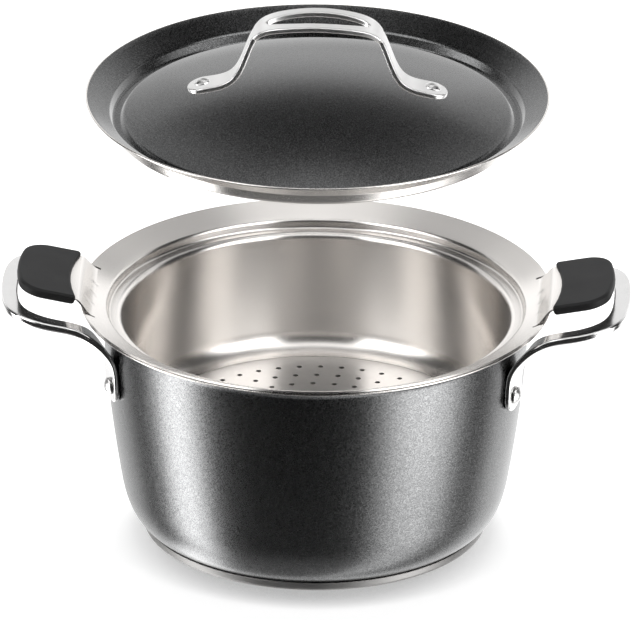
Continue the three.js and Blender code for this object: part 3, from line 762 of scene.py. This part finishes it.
def handle_line():
    """Middle of the strap, from the front leg's end round the loop to the rear leg's end. ELBOW and SHOULDER
    are shares, along each axis, of the way from the leg's top to the bend."""
    leg_top = on_wall(rivet_z + LEG_RISE)
    loop_z, reach = NECK_Z + LOOP_RISE, rim_r + LOOP_OUT
    fall = LOOP_DROP / (reach - bend_reach)
    bend = np.array([bend_reach, -LOOP_HALF, loop_z - LOOP_DROP])
    corner_x, cut = reach - LOOP_CORNER, LOOP_CORNER * (1 - np.sqrt(0.5))
    half = np.array([
        on_wall(rivet_z - LEG_W / 2),
        on_wall(rivet_z + LEG_RISE / 4 - LEG_W / 4),
        leg_top,
        leg_top + (bend - leg_top) * ELBOW,
        leg_top + (bend - leg_top) * SHOULDER,
        bend,
        [corner_x, -LOOP_HALF, loop_z - fall * LOOP_CORNER],
        [reach - cut, cut - LOOP_HALF, loop_z - fall * cut],
        [reach, LOOP_CORNER - LOOP_HALF, loop_z],
    ])
    middle = [[reach + LOOP_BOW, 0, loop_z]]
    return spline(np.vstack([half, middle, half[::-1] * [1, -1, 1]]))


print(f"rivets {rivet_z:.1f} mm up, legs {np.degrees(leg_angle):.1f} degrees from the loop's middle")

# %% Loop handles
STRAP_EDGE = 1.1
NOT_ZERO = 1e-12
HALF_TURN = np.array([-1.0, -1.0, 1.0])


def loop_handle():
    """The strap of one loop, and its normals. out grows from 0 on the leg to 1 on the loop: by it, the
    strap's broad side turns from the wall to level, and its width and thickness change. NOT_ZERO keeps the
    level direction defined, should the strap run straight up."""
    line = handle_line()
    leg_x = (wall_radius(rivet_z + LEG_RISE) + LEG_T) * np.cos(leg_angle)
    out = smooth((line[:, 0] - leg_x) / (bend_reach - leg_x))[:, None]
    along = unit(np.gradient(line, axis=0))
    side = np.where(line[:, 1:2] < 0, 1, -1) * np.cos(leg_angle)
    leg = np.hstack([np.full_like(side, np.sin(leg_angle)), side, 0 * side])
    loop = np.stack([-along[:, 1], along[:, 0], 0 * along[:, 0]], 1)
    path = path_of(line, leg * (1 - out) + unit(loop + NOT_ZERO) * out)
    width = LEG_W + (LOOP_W - LEG_W) * out[:, 0]
    outline = strap_outline(path[0][-1], width)
    flat = blank([outline], STRAP_EDGE, LEG_T, lattice([outline], step_s=1.5, step_y=3.0, clear=2.0))
    return bent_along(path, flat, 1 + (LOOP_T / LEG_T - 1) * out[:, 0])


def both_sides(made, normals):
    """A piece and its normals at the right, and the same turned half round the axis for the left."""
    points, *rest = made
    return {"right": (made, normals), "left": ((points * HALF_TURN, *rest), normals * HALF_TURN)}


for side, (made, normals) in both_sides(*loop_handle()).items():
    piece(f"{side}-handle", made, [polished_steel], "pot", [f"{side}_handle"], normals)

# %% [markdown]
# ## Rivets
# A rivet is a turned piece: a button head with a rounded edge, the shank, and the closing head on
# the other side of the sheet. Its axis stands square on the sheet. A squashed ball could stand in for
# the head, but then the rounded edge that catches the light would be missing.

# %% Rivets
HEAD_EDGE = 0.5
HEAD_SIDE = 0.25
DOME_SHARES = np.linspace(0.96, 0.08, 12)
rivet_angles = round_angles[::6]


def rivet(wall, strap, head, shank, tail, spot, axis):
    """A rivet whose axis starts on the sheet's outer face. head and tail are (radius, height), and the
    head's top falls with the square of the distance from its middle."""
    foot, seat = -wall - 2 * SEAT_GAP, strap + 2 * SEAT_GAP
    rise = head[1] * (1 - (1 - HEAD_SIDE) * DOME_SHARES**2)
    dome = np.stack([head[0] * DOME_SHARES, seat + rise], 1)
    line = bent([
        (0, foot - tail[1]), (tail[0], foot - tail[1], tail[1] / 2), (tail[0], foot), (shank, foot),
        (shank, seat), (head[0], seat), (head[0], seat + HEAD_SIDE * head[1], HEAD_EDGE), *dome,
        (0, seat + head[1])])
    points, faces, part, _ = welded(skin(turned(line, rivet_angles), wrap=True))
    aside = unit(np.cross(axis, [0.0, 1.0, 0.0]))
    frame_rows = np.array([aside, np.cross(axis, aside), axis])
    return spot + points @ frame_rows, faces, part


POT_HEAD, POT_SHANK, POT_TAIL = (5.0, 2.8), 3.0, (5.5, 1.2)
for side, way in {"right": 1, "left": -1}.items():
    for end, turn in {"front": -leg_angle, "rear": leg_angle}.items():
        ray = np.array([way * np.cos(turn), np.sin(turn), 0])
        spot = wall_radius(rivet_z) * ray + [0, 0, rivet_z]
        axis = unit(ray - [0, 0, wall_lean(rivet_z)])
        made = rivet(POT_WALL, LEG_T, POT_HEAD, POT_SHANK, POT_TAIL, spot, axis)
        piece(f"{side}-{end}-rivet", made, [satin_steel], "pot", [f"{side}_{end}_rivet"])

# %% [markdown]
# ## The steamer basket
# The basket is drawn from one thin disc: a perforated floor, a rounded corner, a nearly upright
# wall, a ledge for the lid, a short step and a flange that lies on the pot's rim. Two tabs grow out
# of the flange, climb off it and carry the grips, with a small slot beside each root so that the
# sheet could bend there. The upper side is built first as one open skin, and gets its thickness
# at the end.

# %% The basket's section
STEAMER_SHEET = 1.0
STEP_PLAY = 0.6
STEP_DEPTH = 5.0
STEP_DRAFT = 1.0
STEP_BEND = 1.5
LEDGE_W = 7.4
LEDGE_BEND = 2.5
BASKET_DEPTH = 69.3
BASKET_CORNER = 13.0
WATER_GAP = 4.5
JOIN_R = 121.0
JOIN_GAP = 0.5
ROUNDING = 1e-6
under_flange = POT_WALL + SEAT_GAP
step_top_r = neck_r - POT_WALL - STEP_PLAY
step_foot_r = step_top_r - STEP_DRAFT
ledge_z = rim_line(step_top_r, under_flange) - STEP_DEPTH
floor_z = ledge_z - BASKET_DEPTH
foot_of_basket_r = wall_radius(floor_z) - POT_WALL - WATER_GAP
floor_r = foot_of_basket_r - BASKET_CORNER


def flange_top(r):
    """Height of the flange's upper side at a radius."""
    return rim_line(r, under_flange + STEAMER_SHEET)


def basket_line():
    """The upper side of the basket from the edge of its flat floor to the flange."""
    line = beside(bent([
        (0, floor_z), (foot_of_basket_r, floor_z, BASKET_CORNER),
        (step_foot_r - LEDGE_W, ledge_z, LEDGE_BEND), (step_foot_r, ledge_z, LEDGE_BEND),
        (step_top_r, rim_line(step_top_r, under_flange), STEP_BEND),
        (JOIN_R, rim_line(JOIN_R, under_flange))]), STEAMER_SHEET)
    r = line[:, 0]
    kept = line[(r >= floor_r - ROUNDING) & (r < JOIN_R - JOIN_GAP)]
    return np.vstack([kept, [JOIN_R, flange_top(JOIN_R)]])


print(f"ledge at {ledge_z:.1f}, floor at {floor_z:.1f}, flat of the floor {floor_r:.1f} mm from the axis")

# %% [markdown]
# The round part ends in a ring at JOIN_R. Outside it, the flange is a ring with a gap for each tab,
# the tab runs out from the ring, and a short strip closes the sheet behind each slot. All of them
# share their border points, so they weld into one skin. The tab's joggle is a curve that leaves the
# flange in its slope and meets the flat of the tab in its slope, and three small darts stiffen it.

# %% Flange and tabs
TAB_ROOT_W = 64.0
TAB_KNEE_W = 59.0
TAB_END_W = 40.0
TAB_JOGGLE = 9.0
TAB_CLIMB = 10.5
TAB_REACH = 26.0
TAB_RISE = np.radians(10.5)
SLOT_W = 1.6
SLOT_DEPTH = 6.5
DARTS = (-14.0, 0.0, 14.0)
DART_H = 1.0
DART_OUT = 2.0
DART_LONG, DART_WIDE = 1.9, 0.8
TAB_COLUMNS = 65
CLIMB_STEPS = 28
FLAT_STEPS = 12
ROOT_STEPS = 5
FLANGE_COLUMNS = 97
FLANGE_STEPS = 5
slot_x = np.sqrt(flange_r**2 - (TAB_ROOT_W / 2) ** 2) - SLOT_DEPTH
root_x = slot_x + SLOT_W
knee_x = root_x + TAB_JOGGLE
knee_z = flange_top(root_x) + TAB_CLIMB
slot_y = TAB_ROOT_W / 2 + SLOT_W
across = np.linspace(-1, 1, TAB_COLUMNS)
root_rows = np.linspace(0, 1, ROOT_STEPS)[:, None]
tab_angles = np.arcsin(across * TAB_ROOT_W / 2 / JOIN_R)
flange_start = np.arcsin(slot_y / JOIN_R)
flange_share = np.linspace(0, 1, FLANGE_COLUMNS)


def tab_height(x, y):
    """Upper side of a tab: the flange's cone up to the root, a cubic between two slopes over the joggle, a
    gentle rise beyond it, and a small ridge for each dart."""
    root = flange_top(np.hypot(root_x, y))
    slope = np.tan(RIM_SLOPE) * root_x / np.hypot(root_x, y)
    t = np.clip((x - root_x) / TAB_JOGGLE, 0, 1)
    curve = root * (1 + 2 * t) * (1 - t) ** 2 + slope * TAB_JOGGLE * t * (1 - t) ** 2
    curve += knee_z * t**2 * (3 - 2 * t) + np.tan(TAB_RISE) * TAB_JOGGLE * t**2 * (t - 1)
    flat = knee_z + (x - knee_x) * np.tan(TAB_RISE)
    z = np.where(x <= root_x, flange_top(np.hypot(x, y)), np.where(x >= knee_x, flat, curve))
    for dart in DARTS:
        along, aside = (x - root_x - DART_OUT) / DART_LONG, (y - dart) / DART_WIDE
        z = z + DART_H * np.exp(-(along**2) - aside**2)
    return z


print(f"a tab leaves the flange at {root_x:.1f} mm and is straight from {knee_x:.1f} mm")

# %% Skins of the flange and the tabs
def tab_skin():
    """The tab at +X: rows from the ring out to its end, columns across it."""
    y = across * TAB_ROOT_W / 2
    near = np.sqrt(JOIN_R**2 - y**2)
    behind = near + (slot_x - near) * root_rows
    end_x = knee_x + TAB_REACH
    climb, straight = np.linspace(slot_x, knee_x, CLIMB_STEPS), np.linspace(knee_x, end_x, FLAT_STEPS)
    x = np.vstack([behind, np.concatenate([climb[1:], straight[1:]])[:, None] + 0 * y])
    width = np.interp(x, [root_x, knee_x, end_x], [TAB_ROOT_W, TAB_KNEE_W, TAB_END_W])
    y = across * width / 2
    return skin(np.stack([x, y, tab_height(x, y)], -1)[:, ::-1])


def behind_slot(side):
    """The short strip between a tab and the flange, from the ring to the slot."""
    y = side * np.array([TAB_ROOT_W / 2, slot_y])
    near = np.sqrt(JOIN_R**2 - y**2)
    x = near + (slot_x - near) * root_rows
    grid = np.stack([x, y + 0 * x, flange_top(np.hypot(x, y))], -1)
    return skin(grid[:, ::-1] if side > 0 else grid)


def flange_skin():
    """Half the flange: each row is an arc at a radius, and its ends lie on the slots' outer lines."""
    near = np.sqrt(JOIN_R**2 - slot_y**2)
    x = near + (slot_x - near) * root_rows[:, 0]
    sheet = flange_top(flange_r) - rim_line(flange_r, under_flange)
    edge = flange_r - sheet * np.sin(RIM_SLOPE) * np.cos(RIM_SLOPE)
    outer = np.linspace(np.hypot(slot_x, slot_y), edge, FLANGE_STEPS)[1:]
    r = np.concatenate([np.hypot(x, slot_y), outer])[:, None]
    start = np.arcsin(slot_y / r)
    angle = start + (np.pi - 2 * start) * flange_share
    return skin(np.stack([r * np.cos(angle), r * np.sin(angle), flange_top(r) + 0 * angle], -1)[:, ::-1])


print("a tab's skin has", len(tab_skin()[1]), "triangles, half the flange", len(flange_skin()[1]))

# %% [markdown]
# The drain holes lie in rings round a centre hole: the first ring has six, and each ring has six more
# than the last. The floor is flat, so it is triangulated round its holes. The sheet gets its
# thickness last: each point has a partner below it, square to the skin, and walls join the two
# along every free edge, which also gives the holes and the slots their sides.

# %% Perforated floor
HOLE_D = 3.0
HOLE_MARGIN = 13.7
HOLE_RINGS = 7
RING_HOLES = 6
HOLE_TURN = np.radians(81.6)
HOLE_SIDES = 14
spacing = (floor_r - HOLE_MARGIN) / HOLE_RINGS
half_angles = np.concatenate([tab_angles, flange_start + (np.pi - 2 * flange_start) * flange_share])
basket_angles = np.concatenate([half_angles, half_angles + np.pi])


def hole_centres():
    """Ring n holds 6 n holes at even angles, at n times the spacing from the centre."""
    ring = np.repeat(np.arange(1, HOLE_RINGS + 1), RING_HOLES * np.arange(1, HOLE_RINGS + 1))
    first = RING_HOLES * ring * (ring - 1) // 2
    angle = HOLE_TURN + 2 * np.pi * (np.arange(len(ring)) - first) / (RING_HOLES * ring)
    centres = spacing * ring[:, None] * np.stack([np.cos(angle), np.sin(angle)], 1)
    return np.vstack([[0, 0], centres])


def floor_skin():
    """The flat floor: what lies inside its rim and outside every hole."""
    turn = np.linspace(0, -2 * np.pi, HOLE_SIDES, endpoint=False)
    hole = HOLE_D / 2 * np.stack([np.cos(turn), np.sin(turn)], 1)
    rim = floor_r * np.stack([np.cos(basket_angles), np.sin(basket_angles)], 1)
    spots, faces = covering([rim, *(centre + hole for centre in hole_centres())], np.empty((0, 2)))
    return np.column_stack([spots, np.full(len(spots), floor_z + STEAMER_SHEET)]), faces


print(len(hole_centres()), "drain holes")

# %% Basket
FLOOR_PLAY = 0.01


def thickened(made, thickness):
    """A skin and its other side, thickness below each point along the mean normal of its triangles."""
    points, faces = made[:2]
    a, b, c = points[faces].swapaxes(0, 1)
    mean = np.zeros_like(points)
    for corner in faces.T:
        np.add.at(mean, corner, np.cross(b - a, c - a))
    count = len(points)
    p, q = free_edges(faces).T
    walls = np.stack([q, p, p + count, q, p + count, q + count], -1).reshape(-1, 3)
    both = np.vstack([points, points - thickness * unit(mean)])
    return both, np.vstack([faces, faces[:, ::-1] + count, walls])


def basket():
    """Floor, bowl, flange and tabs, welded and thickened. Triangles that lie in the floor are part 1."""
    bowl = skin(turned(basket_line(), basket_angles)[:, ::-1], wrap=True)
    half = [tab_skin(), flange_skin(), behind_slot(1), behind_slot(-1)]
    other = [(points * HALF_TURN, faces) for points, faces in half]
    points, faces = thickened(welded(floor_skin(), bowl, *half, *other), STEAMER_SHEET)
    in_floor = np.all(points[faces][:, :, 2] < floor_z + STEAMER_SHEET + FLOOR_PLAY, axis=1)
    return points, faces, in_floor.astype(int)


basket_looks = [brushed_steel, rolled_steel]
piece("steamer-basket", basket(), basket_looks, "steamer", ["steamer_basket"])

# %% [markdown]
# ### Grips
# Each tab carries a black silicone grip: a thick rounded plate with a hollow inner edge, a crowned
# outer edge and round outer corners. A bevelled box would miss those bows, so the grip is a blank like
# the handles, laid along the tab's slope.

# %% Grips
GRIP_T = 5.6
GRIP_W = 63.0
GRIP_L = 34.5
GRIP_CORNER = 15.0
GRIP_HOLLOW = 4.5
GRIP_CROWN = 4.0
GRIP_EDGE = 1.7
GRIP_TIP = 2.2
CROWN_BEND = 100.0
HOLLOW_BEND = 104.0
OVERRUN = 1.0
SLOPE_STEPS = 9


def grip():
    """One grip and its normals: an outline of bent corners, made a blank and laid along the tab's slope."""
    half, side_x, swell = GRIP_W / 2, GRIP_L - GRIP_CROWN, GRIP_CROWN / 2
    outline = bent([
        (side_x / 2, -half), (side_x, -half, GRIP_CORNER), (GRIP_L + swell, 0, CROWN_BEND),
        (side_x, half, GRIP_CORNER), (0, half, GRIP_TIP), (2 * GRIP_HOLLOW, 0, HOLLOW_BEND),
        (0, -half, GRIP_TIP), (side_x / 2, -half)])[:-1]
    flat = blank([outline], GRIP_EDGE, GRIP_T, lattice([outline], step_s=3.0, step_y=3.0, clear=3.0))
    reach = np.linspace(-OVERRUN, GRIP_L + OVERRUN, SLOPE_STEPS)[:, None]
    line = [knee_x, 0, knee_z - STEAMER_SHEET / 2] + reach * [np.cos(TAB_RISE), 0, np.sin(TAB_RISE)]
    length, *rows = path_of(line, np.tile([0.0, 1.0, 0.0], (SLOPE_STEPS, 1)))
    return bent_along((length - OVERRUN, *rows), flat)


for side, (made, normals) in both_sides(*grip()).items():
    piece(f"{side}-grip", made, [silicone], "steamer", [f"{side}_grip"], normals)

# %% [markdown]
# ## The lid
# The lid is one pressing too. From the axis outward, its underside is a shallow dome, which is part of
# a sphere, a short foot, a groove that rests on the basket's ledge, an upright neck and a brim that
# rises to the edge. Only the top is coated: the brim's underside and the neck show as bright steel.

# %% Lid
LID_SHEET = 1.2
LID_PLAY = 0.8
LID_NECK_H = 6.6
LID_NECK_DRAFT = 1.6
LID_NECK_BEND = 3.0
LID_BRIM_W = 12.8
LID_BRIM_RISE = 8.7
LID_BRIM_BEND = 1.5
LID_GROOVE_W = 6.0
LID_FOOT_RUN = 2.0
LID_FOOT_RISE = 3.8
LID_FOOT_BEND = 2.2
LID_DOME_RISE = 21.3
DOME_STEPS = 36
lid_neck_r = step_foot_r - STEAMER_SHEET - LID_PLAY
groove_r = lid_neck_r - LID_GROOVE_W
dome_r = groove_r - LID_FOOT_RUN
ball_r = (dome_r**2 + LID_DOME_RISE**2) / (2 * LID_DOME_RISE)
ball_z = lid_seat + LID_FOOT_RISE + LID_DOME_RISE - ball_r


def dome_height(r):
    """Height of the dome's underside: part of a sphere."""
    return ball_z + np.sqrt(ball_r**2 - np.asarray(r) ** 2)


def lid_line():
    """The underside of the lid from the axis to the brim's edge."""
    r = np.linspace(0, dome_r, DOME_STEPS)[:-1]
    brim_r, brim_z = lid_neck_r + LID_NECK_DRAFT, lid_seat + LID_NECK_H
    return bent([
        *np.stack([r, dome_height(r)], 1), (dome_r, lid_seat + LID_FOOT_RISE, LID_FOOT_BEND),
        (groove_r, lid_seat, LID_FOOT_BEND), (lid_neck_r, lid_seat, LID_NECK_BEND),
        (brim_r, brim_z, LID_BRIM_BEND), (brim_r + LID_BRIM_W, brim_z + LID_BRIM_RISE)])


lid = spun(lid_line(), LID_SHEET)
lid_looks = [brushed_steel, brushed_steel, shaded_lid_coating]
piece("lid-shell", lid, lid_looks, "lid", ["lid_shell"])

# %% [markdown]
# ### The lid's handle
# The handle is a strap with a foot on each side of the dome. Its legs lean in and turn over into a
# bridge that widens like a lens, with a long oval slot through it.

# %% Lid handle
STRAP_T = 3.0
STRAP_FOOT_W = 18.0
STRAP_WAIST_W = 14.5
STRAP_BRIDGE_W = 29.0
STRAP_BRIDGE_HALF = 35.0
STRAP_RIVET_X = 63.0
STRAP_TIP = 9.0
STRAP_BEND_X = 47.0
STRAP_SHOULDER_X = 31.0
STRAP_H = 36.6
STRAP_ARCH = 4.2
STRAP_LEG = np.array([[0, 0.08], [0.35, 0.36], [0.63, 0.72], [1, 0.97]])
OVAL_LONG = 57.0
OVAL_ACROSS = 15.0
OVAL_STEPS = 96
LID_STRAP_EDGE = STRAP_EDGE * 0.8


def strap_line():
    """Middle of the strap in the plane of the handle, from the left foot to the right. STRAP_LEG holds
    shares of the way from the foot's bend to the bridge's shoulder."""
    lift = LID_SHEET + SEAT_GAP + STRAP_T / 2
    top = dome_height(0) + LID_SHEET + STRAP_H - STRAP_T / 2
    foot_x = np.array([STRAP_RIVET_X + STRAP_TIP, STRAP_RIVET_X, (STRAP_RIVET_X + STRAP_BEND_X) / 2])
    start = np.array([STRAP_BEND_X, dome_height(STRAP_BEND_X) + lift])
    leg = start + (np.array([STRAP_SHOULDER_X, top - STRAP_ARCH]) - start) * STRAP_LEG
    bridge = [[STRAP_SHOULDER_X / 2, top - STRAP_ARCH / 4]]
    half = np.vstack([np.stack([foot_x, dome_height(foot_x) + lift], 1), leg, bridge])
    flat = np.vstack([half * [-1, 1], [[0, top]], half[::-1]])
    return spline(np.stack([flat[:, 0], 0 * flat[:, 0], flat[:, 1]], 1))


def lid_handle():
    """The lid's strap and its normals. Its width is the waist's, plus a smooth growth to the feet, plus half
    an ellipse over the bridge."""
    line = strap_line()
    path = path_of(line, np.tile([0.0, 1.0, 0.0], (PATH_STEPS, 1)))
    x = np.abs(line[:, 0])
    foot = smooth((x - STRAP_SHOULDER_X) / (STRAP_RIVET_X - STRAP_SHOULDER_X))
    swell = np.sqrt(np.clip(1 - (x / STRAP_BRIDGE_HALF) ** 2, 0, 1))
    width = STRAP_WAIST_W + (STRAP_FOOT_W - STRAP_WAIST_W) * foot + (STRAP_BRIDGE_W - STRAP_WAIST_W) * swell
    outline = strap_outline(path[0][-1], width)
    turn = np.linspace(0, -2 * np.pi, OVAL_STEPS, endpoint=False)
    oval = np.stack([path[0][-1] / 2 + OVAL_LONG / 2 * np.cos(turn), OVAL_ACROSS / 2 * np.sin(turn)], 1)
    loops = [outline, oval]
    inner = lattice(loops, step_s=1.5, step_y=3.0, clear=1.8)
    return bent_along(path, blank(loops, LID_STRAP_EDGE, STRAP_T, inner))


strap, strap_normals = lid_handle()
piece("lid-handle", strap, [satin_steel], "lid", ["lid_handle"], strap_normals)
LID_HEAD, LID_SHANK, LID_TAIL = (4.5, 2.4), 2.6, (5.0, 1.0)
for side, way in {"right": 1, "left": -1}.items():
    foot = np.array([way * STRAP_RIVET_X, 0, dome_height(STRAP_RIVET_X) - ball_z])
    spot = unit(foot) * (ball_r + LID_SHEET) + [0, 0, ball_z]
    made = rivet(LID_SHEET, STRAP_T, LID_HEAD, LID_SHANK, LID_TAIL, spot, unit(foot))
    piece(f"lid-{side}-rivet", made, [satin_steel], "lid", [f"lid_{side}_rivet"])

# %% [markdown]
# ## The studio
# The pot is seen through a long lens from slightly above, so the camera stands far away. The floor is
# a pale table that also glows, for the camera alone, so that it reads as white without lighting the
# pot. Close to the pot the glow fades and the table's colour darkens: a painted shadow. Ambient
# occlusion works that out, and it looks towards the back, so that the shadow is deepest in front of
# the pot, as under a lamp behind it. Shadows of the lamp alone would be too faint beside the glow.

# %% Camera
FAR = 10.0
VIEW_W = 0.3523
LOOK_UP = np.radians(24.2)
LOOK_ROUND = np.radians(2.2)
ROLL = np.radians(0.4)
AIM = np.array([0.0, 0.0, 0.1283])


def direction(round_angle, up_angle):
    """Unit vector from the pot: round from the front towards the right, then up."""
    flat = np.array([np.sin(round_angle), -np.cos(round_angle)]) * np.cos(up_angle)
    return np.array([*flat, np.sin(up_angle)])


def aimed(thing, place, target):
    """Puts a camera or a lamp into the scene, at a place and turned to a target."""
    thing.location = place
    thing.rotation_euler = (Vector(target) - Vector(place)).to_track_quat("-Z", "Y").to_euler()
    bpy.context.scene.collection.objects.link(thing)


lens = bpy.data.cameras.new("long lens")
lens.sensor_fit = "HORIZONTAL"
lens.lens = lens.sensor_width * FAR / VIEW_W
lens.clip_end = 4 * FAR
camera = bpy.data.objects.new("camera", lens)
aimed(camera, AIM + FAR * direction(LOOK_ROUND, LOOK_UP), AIM)
camera.rotation_euler.rotate_axis("Z", ROLL)
bpy.context.scene.camera = camera
print(f"lens {lens.lens:.0f} mm at {FAR} m")

# %% Floor
FLOOR_HALF = 3.0
TABLE_Z = -0.0002
CONTACT = 0.024
LEAN = np.radians(82)
GLOW = 0.72
ONSET = 2.2
DEPTH = 2.5
WHITE = (1.0, 1.0, 1.0)
BLACK = (0.0, 0.0, 0.0)
PALE = (0.7, 0.7, 0.7)
SHADED = (0.15, 0.15, 0.15)
MOTTLE = 0.06
MOTTLE_SPOTS = 2.0


def floor_finish():
    """A pale table. Its glow is for the camera only. A shadow is painted into its colour and its glow: the
    share of directions that something close behind hides, to the power ONSET, so it sets in softly, and the
    power DEPTH deepens it."""
    material, shader, place = finish(
        "pale floor", Roughness=0.9, Specular_IOR_Level=0.0, Emission_Strength=GLOW)
    upward = {"Vector": place.node("ShaderNodeNewGeometry", {}, {}, "Normal"), "Angle": -LEAN}
    backward = place.node("ShaderNodeVectorRotate", {"rotation_type": "X_AXIS"}, upward)
    near = {"Distance": CONTACT, "Normal": backward}
    open_sky = place.node("ShaderNodeAmbientOcclusion", {"samples": 12}, near, "AO")
    seen = place.node("ShaderNodeLightPath", {}, {}, "Is Camera Ray")
    # painted shadow: clear falls from 1 on the open table towards 0 close to the pot
    clear = 1 - (1 - open_sky) ** ONSET
    mottled = 1 - MOTTLE / 2 + noise(place, MOTTLE_SPOTS) * MOTTLE
    # painted shadow in the table's colour, from PALE down to SHADED
    feed(shader, Base_Color=blend(clear * mottled, SHADED, PALE))
    # painted shadow in the glow as well
    feed(shader, Emission_Color=blend(clear**DEPTH * seen, BLACK, WHITE))
    return material


spread = FLOOR_HALF * np.array([[-1, -1], [1, -1], [1, 1], [-1, 1]])
ground = bpy.data.meshes.new("floor")
ground.from_pydata([(*spot, TABLE_Z) for spot in spread.tolist()], [], [(0, 1, 2, 3)])
ground.materials.append(floor_finish())
floor = bpy.data.objects.new("floor", ground)
bpy.context.scene.collection.objects.link(floor)
floor.visible_glossy = False
print("floor", 2 * FLOOR_HALF, "m across, shadow within", CONTACT, "m")

# %% [markdown]
# Metal shows its surroundings. Here they are a dark room with soft panels. Low ones at the left and
# the right draw the two tall highlights on the pot, and low ones behind lighten its edges. High ones
# at the front show in the bowl. The wall behind is white for the flange, with a dark patch that keeps
# the lid dark, and strips under the ceiling give its brim an edge. The room is written as a function
# of the direction in which a ray leaves: how far round from the front, and how far up. The camera
# itself sees plain white, and matt surfaces see an even level. Real panels around the pot would also
# work, but they would light the floor too.

# %% Directions in the room
world = bpy.data.worlds.new("studio")
bpy.context.scene.world = world
world.use_nodes = True
world.cycles.sampling_method = "NONE"
heading = Wire(world.node_tree, None).node("ShaderNodeTexCoord", {}, {}, "Generated")
x, y, z = heading.axes()
turn = x.sum("ARCTAN2", x, 0 - y)
around = turn.sum("ABSOLUTE", turn)


def rise(value, middle, soft):
    """Climbs smoothly from 0 to 1 while value passes middle, over soft on each side of it."""
    sockets = {"Value": value, "From Min": middle - soft, "From Max": middle + soft}
    return value.node("ShaderNodeMapRange", {"interpolation_type": "SMOOTHSTEP"}, sockets)


def stripe(centre, half, soft):
    """An upright stripe of the room, centre degrees round from the front or as far the other way."""
    off = turn.sum("ABSOLUTE", turn - np.radians(centre))
    return 1 - rise(off, np.radians(half), np.radians(soft))


def behind(degrees, soft):
    """The part of the room that lies further round from the front than degrees, on either side."""
    return rise(around, np.radians(degrees), np.radians(soft))


def between(low, high, soft):
    """A level stripe of the room between two heights of the direction."""
    return rise(z, low, soft) - rise(z, high, soft)


print(world.name, "is a function of the direction")

# %% Panels of the room
ROOM_LIGHT = 0.55
DARK = 0.03
low = 1 - rise(z, 0.0, 0.12)
high = between(0.26, 0.85, 0.08)
back_wall = behind(138, 10) * (1 - low)
dark_patch = behind(155, 8) * between(0.46, 0.89, 0.04)
panels = {
    "left highlight": stripe(-83, 12, 9) * low * rise(z, -0.78, 0.1) * 7.5,
    "left highlight on the foot": stripe(-120, 32, 10) * between(-0.88, -0.74, 0.04) * 5,
    "right highlight": stripe(66, 20, 15) * low * (2.6 + rise(z, -0.6, 0.12) * 2.6),
    "bands in the bowl": (stripe(-50, 22, 5) + stripe(50, 22, 5)) * high * 3.4,
    "left edge": stripe(-155, 28, 12) * low * 1.2,
    "right edge": stripe(150, 30, 12) * low * 1.6,
    "right side of the foot": stripe(105, 18, 12) * (1 - rise(z, -0.56, 0.07)) * 0.45,
    "wall behind": back_wall * (1 - dark_patch * 0.92) * 1.25,
    "low strip behind": behind(112, 12) * between(0.2, 0.44, 0.04) * 1.4,
    "strip under the ceiling behind": behind(130, 15) * between(0.915, 0.975, 0.025) * 2.2,
    "strip under the ceiling in front": (1 - behind(60, 15)) * between(0.84, 0.97, 0.03) * 2.0,
    "table below": (1 - rise(z, -0.8, 0.08)) * 0.35,
}
room = DARK
for light in panels.values():
    room = light.sum("MAXIMUM", light, room)
rays = heading.node("ShaderNodeLightPath", {}, {}).socket.node.outputs
seen, mirrored, through = (
    Wire(world.node_tree, rays[name]) for name in ("Is Camera Ray", "Is Glossy Ray", "Is Transmission Ray"))
level = ROOM_LIGHT + mirrored * (room - ROOM_LIGHT)
level = level + level.sum("MAXIMUM", seen, through) * (1 - level)
sky = world.node_tree.nodes["Background"]
sky.inputs["Color"].default_value = (1, 1, 1, 1)
world.node_tree.links.new(level.socket, sky.inputs["Strength"])
print("even level", ROOM_LIGHT, "and panels:", ", ".join(panels))

# %% [markdown]
# A white card stands behind each handle. It hides the wall's dark patch from the flat end of the
# strap, which then shows white. Only mirrors see the cards.

# %% White cards
CARD_LIGHT = 1.0
CARD_BACK = 0.25
CARD_ACROSS = (0.13, 0.28)
CARD_UP = (0.18, 0.42)


def card(name, side):
    """An upright card behind one handle, which mirrors see and nothing else does."""
    (near, far), (foot, top) = CARD_ACROSS, CARD_UP
    corners = [(side * far, foot), (side * near, foot), (side * near, top), (side * far, top)]
    sheet = bpy.data.meshes.new(name)
    sheet.from_pydata([(x, CARD_BACK, z) for x, z in corners], [], [(0, 1, 2, 3)])
    sheet.materials.append(white_card)
    thing = bpy.data.objects.new(name, sheet)
    bpy.context.scene.collection.objects.link(thing)
    for ray in ("camera", "diffuse", "transmission", "shadow"):
        setattr(thing, f"visible_{ray}", False)


white_card = finish(
    "white card", Emission_Strength=CARD_LIGHT, Emission_Color=(1, 1, 1, 1), Base_Color=(0, 0, 0, 1))[0]
card("left card", -1)
card("right card", 1)
print("cards", CARD_BACK, "m behind the middle of the pot")

# %% [markdown]
# One wide soft lamp above and behind the pot lights the matt surfaces and draws the shadow. Mirrors
# see the panels in its place.

# %% Lamp
LAMP_AIM = np.array([0.0, 0.0, 0.08])
LAMP_FAR = 2.0
LAMP_UP = np.radians(68)
LAMP_SIZE = 1.3
LAMP_POWER = 36

lamp = bpy.data.lights.new("overhead light", "AREA")
lamp.size = LAMP_SIZE
lamp.energy = LAMP_POWER
overhead = bpy.data.objects.new("overhead light", lamp)
aimed(overhead, LAMP_AIM + LAMP_FAR * direction(np.pi, LAMP_UP), LAMP_AIM)
overhead.visible_glossy = False
overhead.visible_camera = False
print(overhead.name, lamp.energy, "W")

# %% [markdown]
# The lid hangs over the open pot only so that both are seen. A dark lid mirrored in the bowl would
# look like a stain there, so mirrors don't see it.

# %% Lid kept out of the mirrors
for name in ("lid-shell", "lid-handle", "lid-left-rivet", "lid-right-rivet"):
    bpy.data.objects[name].visible_glossy = False
print("mirrors see the room without the lid")

# %% [markdown]
# Last, the view transform is set to Standard.

# %% The view transform
bpy.context.scene.view_settings.view_transform = "Standard"
